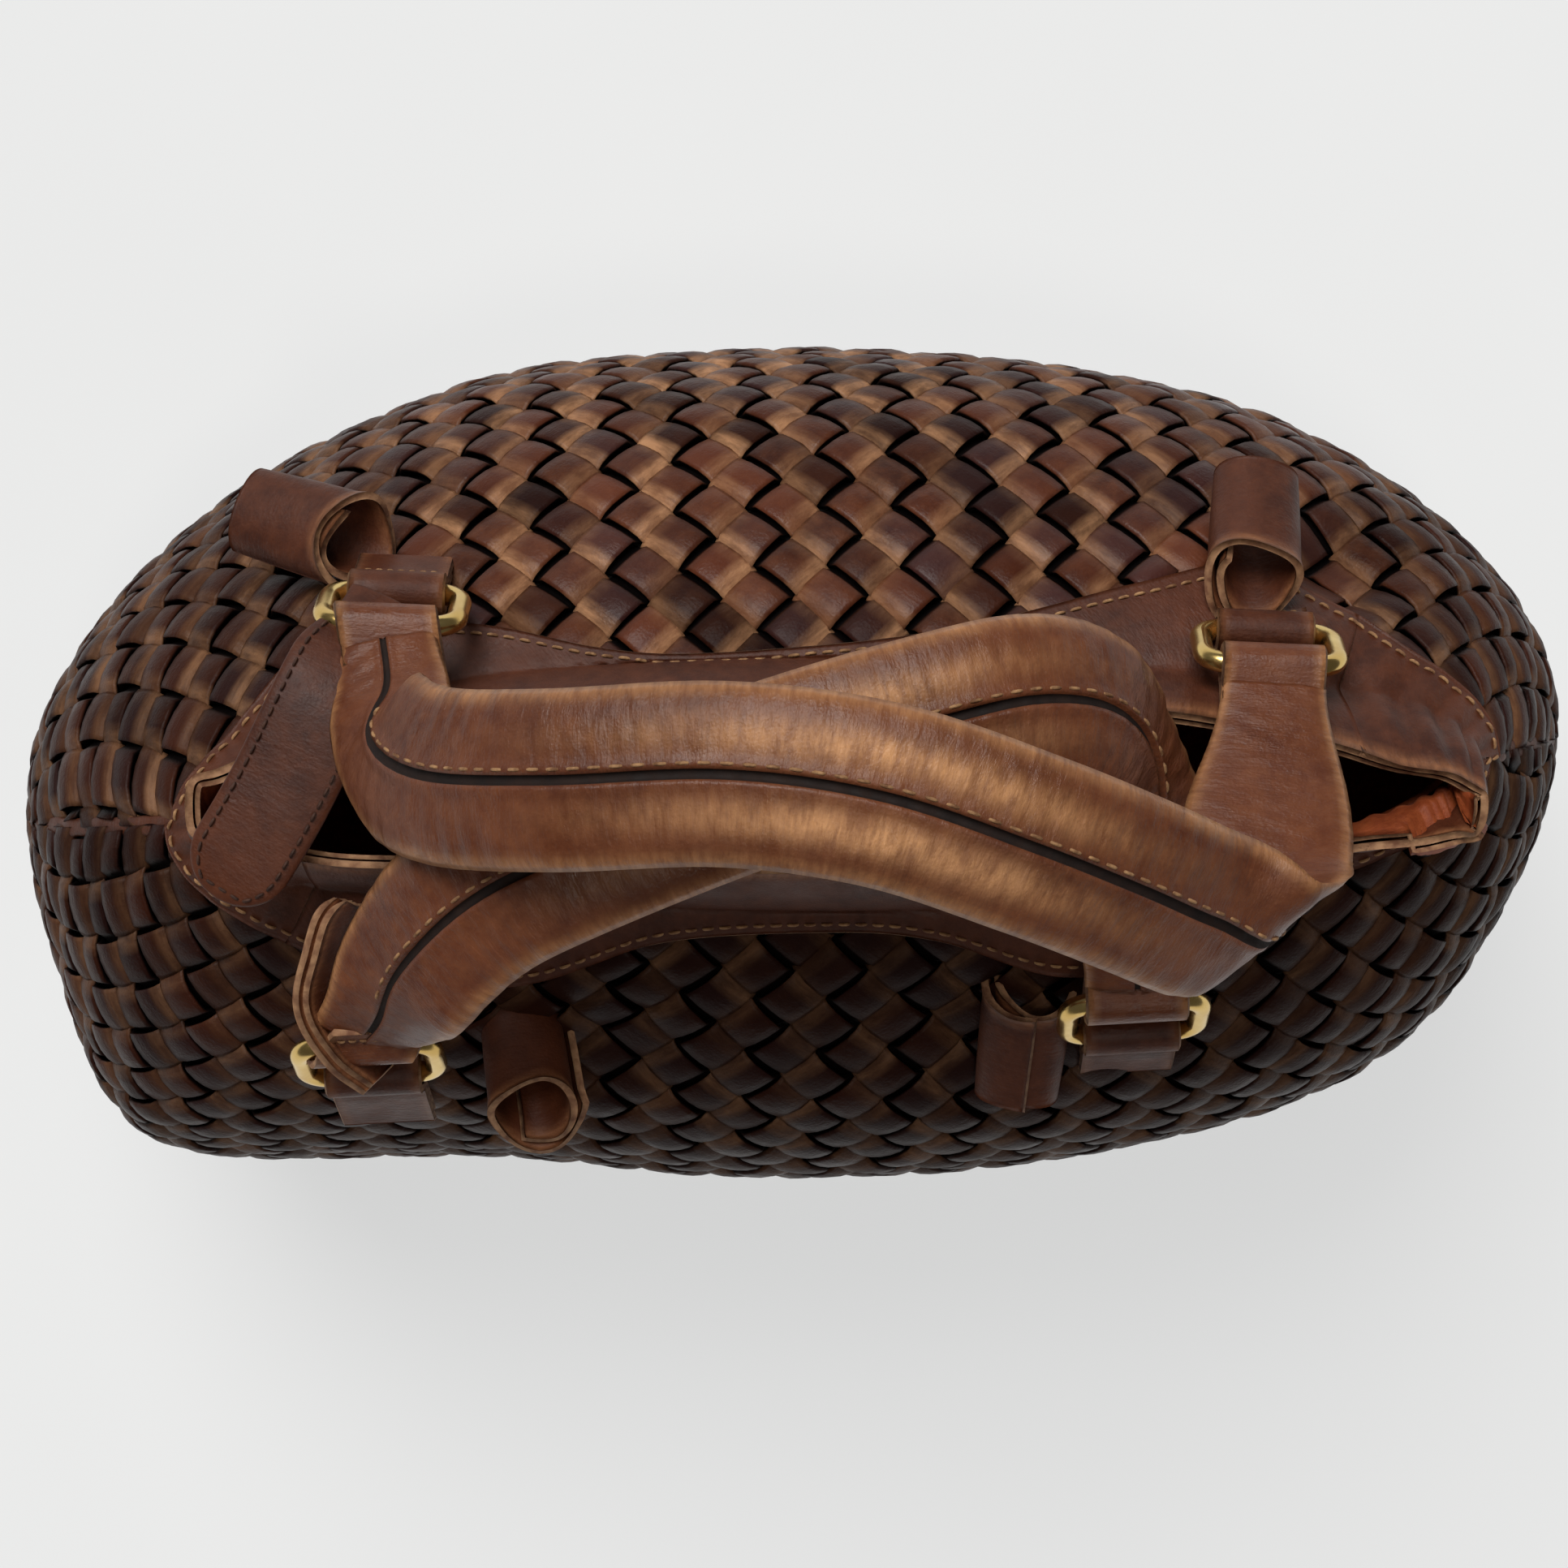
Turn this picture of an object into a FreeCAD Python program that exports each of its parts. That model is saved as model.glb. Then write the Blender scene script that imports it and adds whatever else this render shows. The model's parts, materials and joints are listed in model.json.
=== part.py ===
"""A soft woven leather handbag that stands open on its flat base.

The body is a lofted shell of woven panels round a lining, closed below by a base panel and a
stiffening board.  A smooth rim band runs round the mouth.  At four handle points a rolled tube
of leather and a loop tab hold a brass ring, and two padded handles hang on the rings.
Frame: millimetres, +Z up, +X to the bag's right, +Y to its back, origin under the middle of
the base.
"""
import FreeCAD, Part
import math
import os

import Sketcher

Vector = FreeCAD.Vector
Rotation = FreeCAD.Rotation
Placement = FreeCAD.Placement

SIZES = {
    # leather and board thicknesses
    "woven_thickness": 3.0,
    "lining_gap": 0.3,
    "lining_thickness": 1.5,
    "base_thickness": 3.0,
    "board_thickness": 3.0,
    "board_margin": 8.0,
    "band_thickness": 3.0,
    # where the shell is split into panels and the rim into bands
    "panel_split": 150.0,
    "band_split": 108.0,
    "rim_height": 232.0,
    # brass rings: middle of the wire to middle of the wire
    "ring_width": 31.0,
    "ring_height": 20.0,
    "ring_corner": 6.0,
    "wire_radius": 2.5,
    # leather loops round the ring bars
    "loop_width": 18.0,
    "loop_bore": 2.9,
    "loop_radius": 5.0,
    "tongue_thickness": 4.0,
    "tab_length": 34.0,
    "handle_tongue": 8.0,
    # rolled tubes
    "tube_radius": 11.0,
    "tube_bore": 8.5,
    "tube_length": 32.0,
    # handles
    "strap_width": 38.0,
    "strap_end_width": 22.0,
    "strap_thickness": 9.0,
    "strap_end_thickness": 6.0,
    "wrap_thickness": 2.0,
    # tail of the back left tab, lying over the gusset
    "tail_width": 23.0,
    "tail_length": 48.0,
    "tail_thickness": 3.5,
}

# (height, half length, half depth, middle x, middle y) of the shell's levels, bottom to rim
SHELL_LEVELS = [
    (0.0, 166.0, 73.0, 0.0, 0.0),
    (16.0, 192.0, 98.0, 0.0, 0.0),
    (50.0, 202.0, 108.0, 0.0, 0.0),
    (85.0, 205.0, 111.0, 0.0, 0.0),
    (125.0, 204.0, 110.0, 0.0, 0.0),
    (160.0, 198.0, 103.0, 2.0, -1.0),
    (190.0, 186.0, 88.0, 4.0, -3.0),
    (210.0, 172.0, 68.0, 6.0, -4.0),
    (224.0, 160.0, 46.0, 9.0, -6.0),
    (232.0, 152.0, 29.0, 10.0, -6.0),
]
# the rim band goes on from the shell's top level
BAND_LEVELS = [
    (232.0, 152.0, 29.0, 10.0, -6.0),
    (243.0, 149.0, 25.0, 10.0, -6.0),
    (252.0, 147.0, 22.0, 10.0, -6.0),
]

# Each handle has a frame of its own: x along the line through its two ring seats, -y towards
# the mouth, z up, origin midway between the seats.
HANDLES = {
    "back": {
        "middle": (9.0, 34.5, 231.0),
        "yaw": -2.6,
        "half_span": 102.0,
        "rise": 82.0,
        "shift": 6.0,
        "lean": (28.0, 104.0),
        "lean_power": 3.0,
        "sides": {"left": -1, "right": 1},
    },
    "front": {
        "middle": (-9.5, -70.0, 222.0),
        "yaw": 183.2,
        "half_span": 90.0,
        "rise": 60.0,
        "shift": -2.0,
        "lean": (96.0, 24.0),
        "lean_power": 1.0,
        "sides": {"right": -1, "left": 1},
    },
}
RING_LEAN = 25.0
STATIONS = 13
ARCH_POWER = 2.0 / 3.0
STRAP_OVERLAP = 0.8

# name: (middle of the tube, turn about Z of its axis from X, dip of the axis in degrees)
TUBES = {
    "back_left": ((-116.5, 55.5, 211.0), -20.0, 2.0),
    "back_right": ((110.0, 53.0, 212.0), 82.0, 16.0),
    "front_left": ((-64.0, -70.0, 210.0), -84.0, 14.0),
    "front_right": ((57.0, -64.0, 211.0), -94.0, 14.0),
}

REACH = 300.0


doc = FreeCAD.newDocument("woven_handbag")
sheet = doc.addObject("Spreadsheet::Sheet", "Sizes")
pieces = []


def fill_sheet():
    """Writes every driving dimension into the sheet, one alias per row."""
    values = dict(SIZES)
    for prefix, levels in (("shell", SHELL_LEVELS), ("band", BAND_LEVELS)):
        for number, (height, half_length, half_depth, middle_x, middle_y) in enumerate(levels):
            values[f"{prefix}_height_{number}"] = height
            values[f"{prefix}_half_length_{number}"] = half_length
            values[f"{prefix}_half_depth_{number}"] = half_depth
            values[f"{prefix}_middle_x_{number}"] = middle_x
            values[f"{prefix}_middle_y_{number}"] = middle_y
    for row, (alias, value) in enumerate(values.items(), start=1):
        sheet.set(f"A{row}", alias)
        sheet.set(f"B{row}", str(value))
        sheet.setAlias(f"B{row}", alias)
    doc.recompute()


def size(alias):
    """A driving dimension's value, read from the sheet."""
    return float(sheet.get(alias))


def keep(piece, label):
    """Names a finished piece, which is then written to its own file."""
    piece.Label = label
    pieces.append(piece)
    return piece


def bind(item, **expressions):
    """Binds properties to expressions, where a leading @ stands for the sheet."""
    for name, expression in expressions.items():
        item.setExpression(name, expression.replace("@", "Sizes."))


def boolean(kind, name, base, tool):
    """A Part::Cut or Part::Common of two objects."""
    result = doc.addObject(f"Part::{kind}", name)
    result.Base = base
    result.Tool = tool
    return result


def box_between(name, low, high):
    """A Part::Box between two corners."""
    box = doc.addObject("Part::Box", name)
    box.Length = high[0] - low[0]
    box.Width = high[1] - low[1]
    box.Height = high[2] - low[2]
    box.Placement = Placement(Vector(*low), Rotation())
    return box


def level_loft(name, prefix, levels, inset):
    """A solid through the ellipses of some levels, drawn in by inset (an expression)."""
    loft = doc.addObject("Part::Loft", name)
    rings = []
    for number in range(len(levels)):
        ring = doc.addObject("Part::Ellipse", f"{name}_section_{number}")
        bind(
            ring,
            MajorRadius=f"@{prefix}_half_length_{number} - ({inset})",
            MinorRadius=f"@{prefix}_half_depth_{number} - ({inset})",
        )
        ring.setExpression("Placement.Base.x", f"Sizes.{prefix}_middle_x_{number}")
        ring.setExpression("Placement.Base.y", f"Sizes.{prefix}_middle_y_{number}")
        ring.setExpression("Placement.Base.z", f"Sizes.{prefix}_height_{number}")
        rings.append(ring)
    loft.Sections = rings
    loft.Solid = True
    loft.Ruled = True
    return loft


def origin_plane(body, role):
    """One of a body's own origin planes."""
    return next(item for item in body.Origin.OriginFeatures if item.Role == role)


def sketch_on(body, name, role):
    """A sketch attached to one of its body's origin planes."""
    sketch = body.newObject("Sketcher::SketchObject", name)
    sketch.AttachmentSupport = (origin_plane(body, role), [""])
    sketch.MapMode = "FlatFace"
    return sketch


def woven_shell():
    """The four woven panels, cut out of one lofted shell."""
    outer = level_loft("shell_outer", "shell", SHELL_LEVELS, "0")
    inner = level_loft("shell_inner", "shell", SHELL_LEVELS, "@woven_thickness")
    shell = boolean("Cut", "shell_wall", outer, inner)
    split = size("panel_split")
    spaces = {
        "woven_left_end": ((-REACH, -REACH, -1.0), (-split, REACH, REACH)),
        "woven_right_end": ((split, -REACH, -1.0), (REACH, REACH, REACH)),
        "woven_front": ((-split, -REACH, -1.0), (split, 0.0, REACH)),
        "woven_back": ((-split, 0.0, -1.0), (split, REACH, REACH)),
    }
    for label, (low, high) in spaces.items():
        space = box_between(f"{label}_space", low, high)
        keep(boolean("Common", f"{label}_panel", shell, space), label)
    return outer


def base():
    """The leather base panel and the stiffening board on it."""
    for label, alias, floor, margin in (
        ("base_panel", "base_thickness", "0", "@woven_thickness + @lining_gap"),
        ("base_board", "board_thickness", "@base_thickness", "@board_margin"),
    ):
        outline = doc.addObject("Part::Ellipse", f"{label}_outline")
        bind(
            outline,
            MajorRadius=f"@shell_half_length_0 - ({margin})",
            MinorRadius=f"@shell_half_depth_0 - ({margin})",
        )
        plate = doc.addObject("Part::Extrusion", f"{label}_plate")
        plate.Base = outline
        plate.DirMode = "Custom"
        plate.Dir = Vector(0, 0, 1)
        plate.Solid = True
        bind(plate, LengthFwd=f"@{alias}")
        plate.setExpression("Placement.Base.z", floor.replace("@", "Sizes."))
        keep(plate, label)


def lining():
    """A thin cup inside the woven shell, standing on the board."""
    gap = "@woven_thickness + @lining_gap"
    outer = level_loft("lining_outer", "shell", SHELL_LEVELS, gap)
    inner = level_loft("lining_inner", "shell", SHELL_LEVELS, gap + " + @lining_thickness")
    floor = size("base_thickness") + size("board_thickness")
    space = box_between("lining_space", (-REACH, -REACH, floor), (REACH, REACH, REACH))
    cavity_floor = floor + size("lining_thickness")
    cavity = box_between("cavity_space", (-REACH, -REACH, cavity_floor), (REACH, REACH, REACH))
    cup = boolean("Common", "lining_cup", outer, space)
    hollow = boolean("Common", "lining_hollow", inner, cavity)
    keep(boolean("Cut", "lining_shell", cup, hollow), "lining")


def rim_bands():
    """The smooth leather band round the mouth, in four lengths."""
    outer = level_loft("rim_outer", "band", BAND_LEVELS, "0")
    inner = level_loft("rim_inner", "band", BAND_LEVELS, "@band_thickness")
    wall = boolean("Cut", "rim_wall", outer, inner)
    split = size("band_split")
    middle_x = size("band_middle_x_0")
    middle_y = size("band_middle_y_0")
    low_x = middle_x - split
    high_x = middle_x + split
    floor = size("rim_height") - 1.0
    spaces = {
        "rim_band_left": ((-REACH, -REACH, floor), (low_x, REACH, REACH)),
        "rim_band_right": ((high_x, -REACH, floor), (REACH, REACH, REACH)),
        "rim_band_front": ((low_x, -REACH, floor), (high_x, middle_y, REACH)),
        "rim_band_back": ((low_x, middle_y, floor), (high_x, REACH, REACH)),
    }
    for label, (low, high) in spaces.items():
        space = box_between(f"{label}_space", low, high)
        keep(boolean("Common", f"{label}_length", wall, space), label)


def tubes(shell):
    """Four short rolls of leather that lie on the shoulders of the shell."""
    for name, (middle, turn, dip) in TUBES.items():
        roll = doc.addObject("Part::Cylinder", f"{name}_roll")
        bore = doc.addObject("Part::Cylinder", f"{name}_bore")
        bind(roll, Radius="@tube_radius", Height="@tube_length")
        bind(bore, Radius="@tube_bore", Height="@tube_length")
        lie_down = Rotation(turn, 90.0 + dip, 0.0)
        half = lie_down.multVec(Vector(0, 0, size("tube_length") / 2))
        for item in (roll, bore):
            item.Placement = Placement(Vector(*middle) - half, lie_down)
        hollow = boolean("Cut", f"{name}_hollow", roll, bore)
        keep(boolean("Cut", f"{name}_tube", hollow, shell), f"pleat_tube_{name}")


def handle_frame(handle):
    """The placement of a handle's own frame."""
    return Placement(Vector(*handle["middle"]), Rotation(handle["yaw"], 0.0, 0.0))


def ring_body(name):
    """A rounded oblong ring of round wire, its lower bar along X through the origin."""
    body = doc.addObject("PartDesign::Body", name)
    half = size("ring_width") / 2
    height = size("ring_height")
    corner = size("ring_corner")
    path = sketch_on(body, f"{name}_path", "XZ_Plane")
    corners = [
        (half - corner, corner, -90.0),
        (half - corner, height - corner, 0.0),
        (corner - half, height - corner, 90.0),
        (corner - half, corner, 180.0),
    ]
    arcs = []
    for across, up, start in corners:
        circle = Part.Circle(Vector(across, up, 0), Vector(0, 0, 1), corner)
        arc = Part.ArcOfCircle(circle, math.radians(start), math.radians(start + 90.0))
        arcs.append(arc)
        path.addGeometry(arc)
    for number, arc in enumerate(arcs):
        following = arcs[(number + 1) % len(arcs)]
        path.addGeometry(Part.LineSegment(arc.EndPoint, following.StartPoint))
    section = sketch_on(body, f"{name}_section", "YZ_Plane")
    section.addGeometry(Part.Circle(Vector(0, 0, 0), Vector(0, 0, 1), size("wire_radius")))
    section.addConstraint(Sketcher.Constraint("Radius", 0, size("wire_radius")))
    section.setExpression("Constraints[0]", "Sizes.wire_radius")
    doc.recompute()
    wire = body.newObject("PartDesign::AdditivePipe", f"{name}_wire")
    wire.Profile = section
    wire.Spine = (path, [f"Edge{number + 1}" for number in range(8)])
    body.Tip = wire
    return body


def loop_body(name, length_alias):
    """A leather loop round a bar along X through the origin, with a tongue towards -Z."""
    body = doc.addObject("PartDesign::Body", name)
    radius = size("loop_radius")
    half = size("tongue_thickness") / 2
    foot = -size(length_alias)
    neck = -math.sqrt(radius**2 - half**2)
    start = math.atan2(neck, half)
    profile = sketch_on(body, f"{name}_profile", "YZ_Plane")
    outline = Part.Circle(Vector(0, 0, 0), Vector(0, 0, 1), radius)
    profile.addGeometry(Part.ArcOfCircle(outline, start, math.pi - start))
    points = [Vector(x, y, 0) for x, y in ((-half, neck), (-half, foot), (half, foot), (half, neck))]
    for first, second in zip(points, points[1:]):
        profile.addGeometry(Part.LineSegment(first, second))
    profile.addGeometry(Part.Circle(Vector(0, 0, 0), Vector(0, 0, 1), size("loop_bore")))
    profile.addConstraint(Sketcher.Constraint("Radius", 4, size("loop_bore")))
    profile.setExpression("Constraints[0]", "Sizes.loop_bore")
    pad = body.newObject("PartDesign::Pad", f"{name}_pad")
    pad.Profile = profile
    pad.Midplane = True
    pad.setExpression("Length", "Sizes.loop_width")
    body.Tip = pad
    return body


def seat(side, handle):
    """The middle of a ring's lower bar in its handle's frame."""
    return Vector(side * handle["half_span"], 0, 0)


def upper_bar(side, handle):
    """The middle of a ring's upper bar in its handle's frame."""
    lean = math.radians(RING_LEAN)
    reach = size("ring_height")
    return seat(side, handle) + Vector(0, -reach * math.sin(lean), reach * math.cos(lean))


def rings_and_tabs(shell):
    """The brass rings, and the loop tabs that hold them to the shell."""
    for name, handle in HANDLES.items():
        frame = handle_frame(handle)
        for side_name, side in handle["sides"].items():
            place = frame.multiply(Placement(seat(side, handle), Rotation()))
            ring = ring_body(f"ring_{name}_{side_name}_body")
            ring.Placement = place.multiply(Placement(Vector(), Rotation(0, 0, RING_LEAN)))
            keep(ring, f"ring_{name}_{side_name}")
            tab = loop_body(f"tab_{name}_{side_name}_body", "tab_length")
            tab.Placement = place.multiply(Placement(Vector(), Rotation(0, 0, 12.0)))
            keep(boolean("Cut", f"tab_{name}_{side_name}", tab, shell), f"loop_tab_{name}_{side_name}")


def arch_point(handle, angle):
    """A point of a handle's middle line, from its first ring (0) to its second (pi)."""
    across = math.cos(angle)
    rise = math.sin(angle) ** ARCH_POWER
    share = (angle / math.pi) ** handle["lean_power"]
    first_lean, second_lean = handle["lean"]
    lean = first_lean + (second_lean - first_lean) * share
    stretch = math.copysign(abs(across) ** ARCH_POWER, across)
    return upper_bar(0, handle) + Vector(
        -handle["half_span"] * stretch + handle["shift"] * rise,
        -lean * rise,
        handle["rise"] * rise,
    )


def strap_section(handle, angle):
    """Placement of the strap's section: its x axis across the strap, z along the strap."""
    step = 0.01
    before = max(angle - step, 1e-4)
    after = min(angle + step, math.pi - 1e-4)
    along = (arch_point(handle, after) - arch_point(handle, before)).normalize()
    turn = math.sin(angle) ** 0.8 * math.pi / 2
    side = 1.0 if angle < math.pi / 2 else -1.0
    across = Vector(-side * math.cos(turn), -math.sin(turn), 0)
    across = (across - along * across.dot(along)).normalize()
    face = along.cross(across)
    turned = Rotation(across, face, along, "ZXY")
    return Placement(arch_point(handle, angle), turned)


def handle_loops(name, handle):
    """The leather loops that hold a strap's ends to its two rings."""
    frame = handle_frame(handle)
    loops = []
    for (side_name, side), lean in zip(handle["sides"].items(), handle["lean"]):
        tilt = math.degrees(math.atan2(lean, handle["rise"]))
        loop = loop_body(f"handle_{name}_{side_name}_loop_body", "handle_tongue")
        place = frame.multiply(Placement(upper_bar(side, handle), Rotation(0, 0, 180.0 + tilt)))
        loop.Placement = place
        keep(loop, f"handle_{name}_loop_{side_name}")
        loops.append(loop)
    return loops


def handle_strap(name, handle, loops):
    """The padded strap: a core in a leather wrap, through oval sections along the arch."""
    frame = handle_frame(handle)
    reach = size("handle_tongue") - STRAP_OVERLAP
    first, last = ((reach / math.hypot(handle["rise"], lean)) ** (1 / ARCH_POWER) for lean in handle["lean"])
    solids = {}
    for part, inset in (("wrap", "0"), ("core", "@wrap_thickness")):
        sections = []
        for number in range(STATIONS):
            angle = first + (math.pi - first - last) * number / (STATIONS - 1)
            fullness = round(math.sin(angle) ** 0.5, 4)
            oval = doc.addObject("Part::Ellipse", f"handle_{name}_{part}_{number}")
            width = f"@strap_end_width + (@strap_width - @strap_end_width) * {fullness}"
            depth = f"@strap_end_thickness + (@strap_thickness - @strap_end_thickness) * {fullness}"
            bind(
                oval,
                MajorRadius=f"({width}) / 2 - ({inset})",
                MinorRadius=f"({depth}) / 2 - ({inset})",
            )
            oval.Placement = frame.multiply(strap_section(handle, angle))
            sections.append(oval)
        loft = doc.addObject("Part::Loft", f"handle_{name}_{part}_loft")
        loft.Sections = sections
        loft.Solid = True
        loft.Ruled = True
        for number, loop in enumerate(loops):
            loft = boolean("Cut", f"handle_{name}_{part}_end_{number}", loft, loop)
        solids[part] = loft
    keep(solids["core"], f"handle_{name}_core")
    keep(boolean("Cut", f"handle_{name}_skin", solids["wrap"], solids["core"]), f"handle_{name}_wrap")


def tail():
    """The long stitched end of the back left tab, lying over the left end of the rim."""
    body = doc.addObject("PartDesign::Body", "tail_body")
    half = size("tail_width") / 2
    length = size("tail_length")
    outline = sketch_on(body, "tail_outline", "XY_Plane")
    straight = length - half
    corners = ((straight, half), (0, half), (0, -half), (straight, -half))
    points = [Vector(x, y, 0) for x, y in corners]
    for first, second in zip(points, points[1:]):
        outline.addGeometry(Part.LineSegment(first, second))
    nose = Part.Circle(Vector(straight, 0, 0), Vector(0, 0, 1), half)
    outline.addGeometry(Part.ArcOfCircle(nose, -math.pi / 2, math.pi / 2))
    pad = body.newObject("PartDesign::Pad", "tail_pad")
    pad.Profile = outline
    pad.setExpression("Length", "Sizes.tail_thickness")
    body.Tip = pad
    top = size(f"band_height_{len(BAND_LEVELS) - 1}")
    body.Placement = Placement(Vector(-107.0, 6.0, top), Rotation(-128.0, 0.0, 0.0))
    keep(body, "back_left_tail")


def write_steps():
    """Checks every object and writes each kept piece to its own file."""
    doc.recompute()
    for item in doc.Objects:
        if "Invalid" in item.State or "Error" in item.State:
            raise RuntimeError(f"{item.Name} failed: {item.State}")
    os.makedirs("parts", exist_ok=True)
    for piece in pieces:
        shape = piece.Shape
        if shape.isNull() or not shape.isValid() or not shape.Solids:
            raise RuntimeError(f"{piece.Label} has no valid solid")
        shape.exportStep(os.path.join("parts", f"{piece.Label}.step"))
        extent = shape.BoundBox
        print(
            f"{piece.Label:28s} {len(shape.Solids)} solid, {shape.Volume / 1000:8.2f} cm3,"
            f" x {extent.XMin:.1f}..{extent.XMax:.1f} y {extent.YMin:.1f}..{extent.YMax:.1f}"
            f" z {extent.ZMin:.1f}..{extent.ZMax:.1f}"
        )


fill_sheet()
shell_solid = woven_shell()
base()
lining()
rim_bands()
tubes(shell_solid)
rings_and_tabs(shell_solid)
for handle_name, handle_sizes in HANDLES.items():
    end_loops = handle_loops(handle_name, handle_sizes)
    handle_strap(handle_name, handle_sizes, end_loops)
tail()
write_steps()
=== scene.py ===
"""Looks for a soft woven leather handbag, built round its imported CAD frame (metres)."""
import json
import math

import bpy
import numpy as np
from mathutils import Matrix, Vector


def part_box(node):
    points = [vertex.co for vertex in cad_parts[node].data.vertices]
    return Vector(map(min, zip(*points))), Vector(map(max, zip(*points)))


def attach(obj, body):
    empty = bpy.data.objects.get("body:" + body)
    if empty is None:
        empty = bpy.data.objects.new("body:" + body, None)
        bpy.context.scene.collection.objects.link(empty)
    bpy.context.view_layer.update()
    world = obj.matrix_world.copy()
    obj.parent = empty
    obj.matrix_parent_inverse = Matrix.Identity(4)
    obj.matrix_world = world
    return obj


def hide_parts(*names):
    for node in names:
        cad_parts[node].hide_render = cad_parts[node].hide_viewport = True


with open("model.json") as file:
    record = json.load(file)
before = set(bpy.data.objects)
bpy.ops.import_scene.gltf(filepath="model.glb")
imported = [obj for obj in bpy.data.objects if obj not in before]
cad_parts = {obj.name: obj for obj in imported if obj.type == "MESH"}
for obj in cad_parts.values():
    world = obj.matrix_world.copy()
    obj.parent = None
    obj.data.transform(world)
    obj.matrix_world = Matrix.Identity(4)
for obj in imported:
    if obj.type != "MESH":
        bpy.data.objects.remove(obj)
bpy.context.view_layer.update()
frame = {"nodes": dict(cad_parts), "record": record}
MM = 0.001


# -------- sizes from the frame
def corners_of(*nodes):
    """The low and high corners of the box round some CAD nodes."""
    lows, highs = zip(*(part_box(node) for node in nodes))
    return np.min(lows, axis=0), np.max(highs, axis=0)


shell_low, shell_high = corners_of("woven_left_end", "woven_right_end", "woven_front", "woven_back")
HALF_LENGTH = 0.978 * (shell_high[0] - shell_low[0]) / 2
HALF_DEPTH = 0.985 * (shell_high[1] - shell_low[1]) / 2
RIM_HEIGHT = shell_high[2]
band_low, band_high = corners_of("rim_band_left", "rim_band_right", "rim_band_front", "rim_band_back")
RIM_MIDDLE = (band_low + band_high) / 2
EDGE_HEIGHT = band_high[2]
EDGE_HALF_LENGTH = (band_high[0] - band_low[0]) / 2 - 3 * MM
EDGE_HALF_DEPTH = 20 * MM
joints = {joint["name"]: joint for joint in frame["record"]["behaviour"]["joints"]}

# (height, half length, half depth) as shares of the shell's, and how far its middle leans to the rim's
LEVELS = np.array([
    (0.000, 0.810, 0.658, 0.00),
    (0.030, 0.880, 0.790, 0.00),
    (0.090, 0.947, 0.905, 0.00),
    (0.216, 0.985, 0.973, 0.00),
    (0.366, 1.000, 1.000, 0.00),
    (0.539, 0.997, 0.995, 0.00),
    (0.690, 0.966, 0.935, 0.20),
    (0.819, 0.907, 0.800, 0.45),
    (0.905, 0.839, 0.620, 0.65),
    (0.966, 0.780, 0.425, 0.90),
    (1.000, 0.745, 0.262, 1.00),
])
ROWS = 181  # of a panel's grid, from its rim to its base
COLUMNS = 361  # of a panel's grid, from its left end seam to its right one
LEATHER = 1.8 * MM
UP = np.array([0, 0, 1.0])
# running stitches: (from one to the next, length, radius)
RIM_STITCH = np.array([4.0, 2.9, 0.42]) * MM
STRAP_STITCH = np.array([4.8, 3.3, 0.42]) * MM
LOOP_STITCH = np.array([2.6, 2.0, 0.35]) * MM
TAIL_STITCH = np.array([3.2, 2.4, 0.36]) * MM


# -------- small helpers
def unit(vectors):
    """Vectors scaled to length 1."""
    lengths = np.linalg.norm(vectors, axis=-1, keepdims=True)
    return vectors / np.maximum(lengths, 1e-12)


def smoothstep(value, low, high):
    """0 below low, 1 above high, smooth between."""
    share = np.clip((value - low) / (high - low), 0, 1)
    return share * share * (3 - 2 * share)


def bump(value, middle, width):
    """A smooth hump of height 1."""
    return np.exp(-(((value - middle) / width) ** 2))


def signed_power(value, power):
    """A value's size raised to a power, with the value's sign."""
    return np.sign(value) * np.abs(value) ** power


def add_object(name, data):
    """A new object in the scene."""
    made = bpy.data.objects.new(name, data)
    bpy.context.scene.collection.objects.link(made)
    return made


def smooth_curve(points, count):
    """A smooth curve through points, as count points evenly spaced along it."""
    points = np.asarray(points, float)
    padded = np.vstack([2 * points[0] - points[1], points, 2 * points[-1] - points[-2]])
    share = np.linspace(0, 1, 24, endpoint=False)[:, None]
    pieces = []
    for a, b, c, d in zip(padded, padded[1:], padded[2:], padded[3:]):
        pieces.append(0.5 * (2 * b + (c - a) * share + (2 * a - 5 * b + 4 * c - d) * share**2
                             + (3 * b - a - 3 * c + d) * share**3))
    line = np.vstack([*pieces, points[-1:]])
    return resample(line, count)


def resample(line, count):
    """count points evenly spaced along a polyline; columns after the third only go along."""
    travelled = distances(line)
    return read_along(line, travelled, np.linspace(0, travelled[-1], count))


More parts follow.
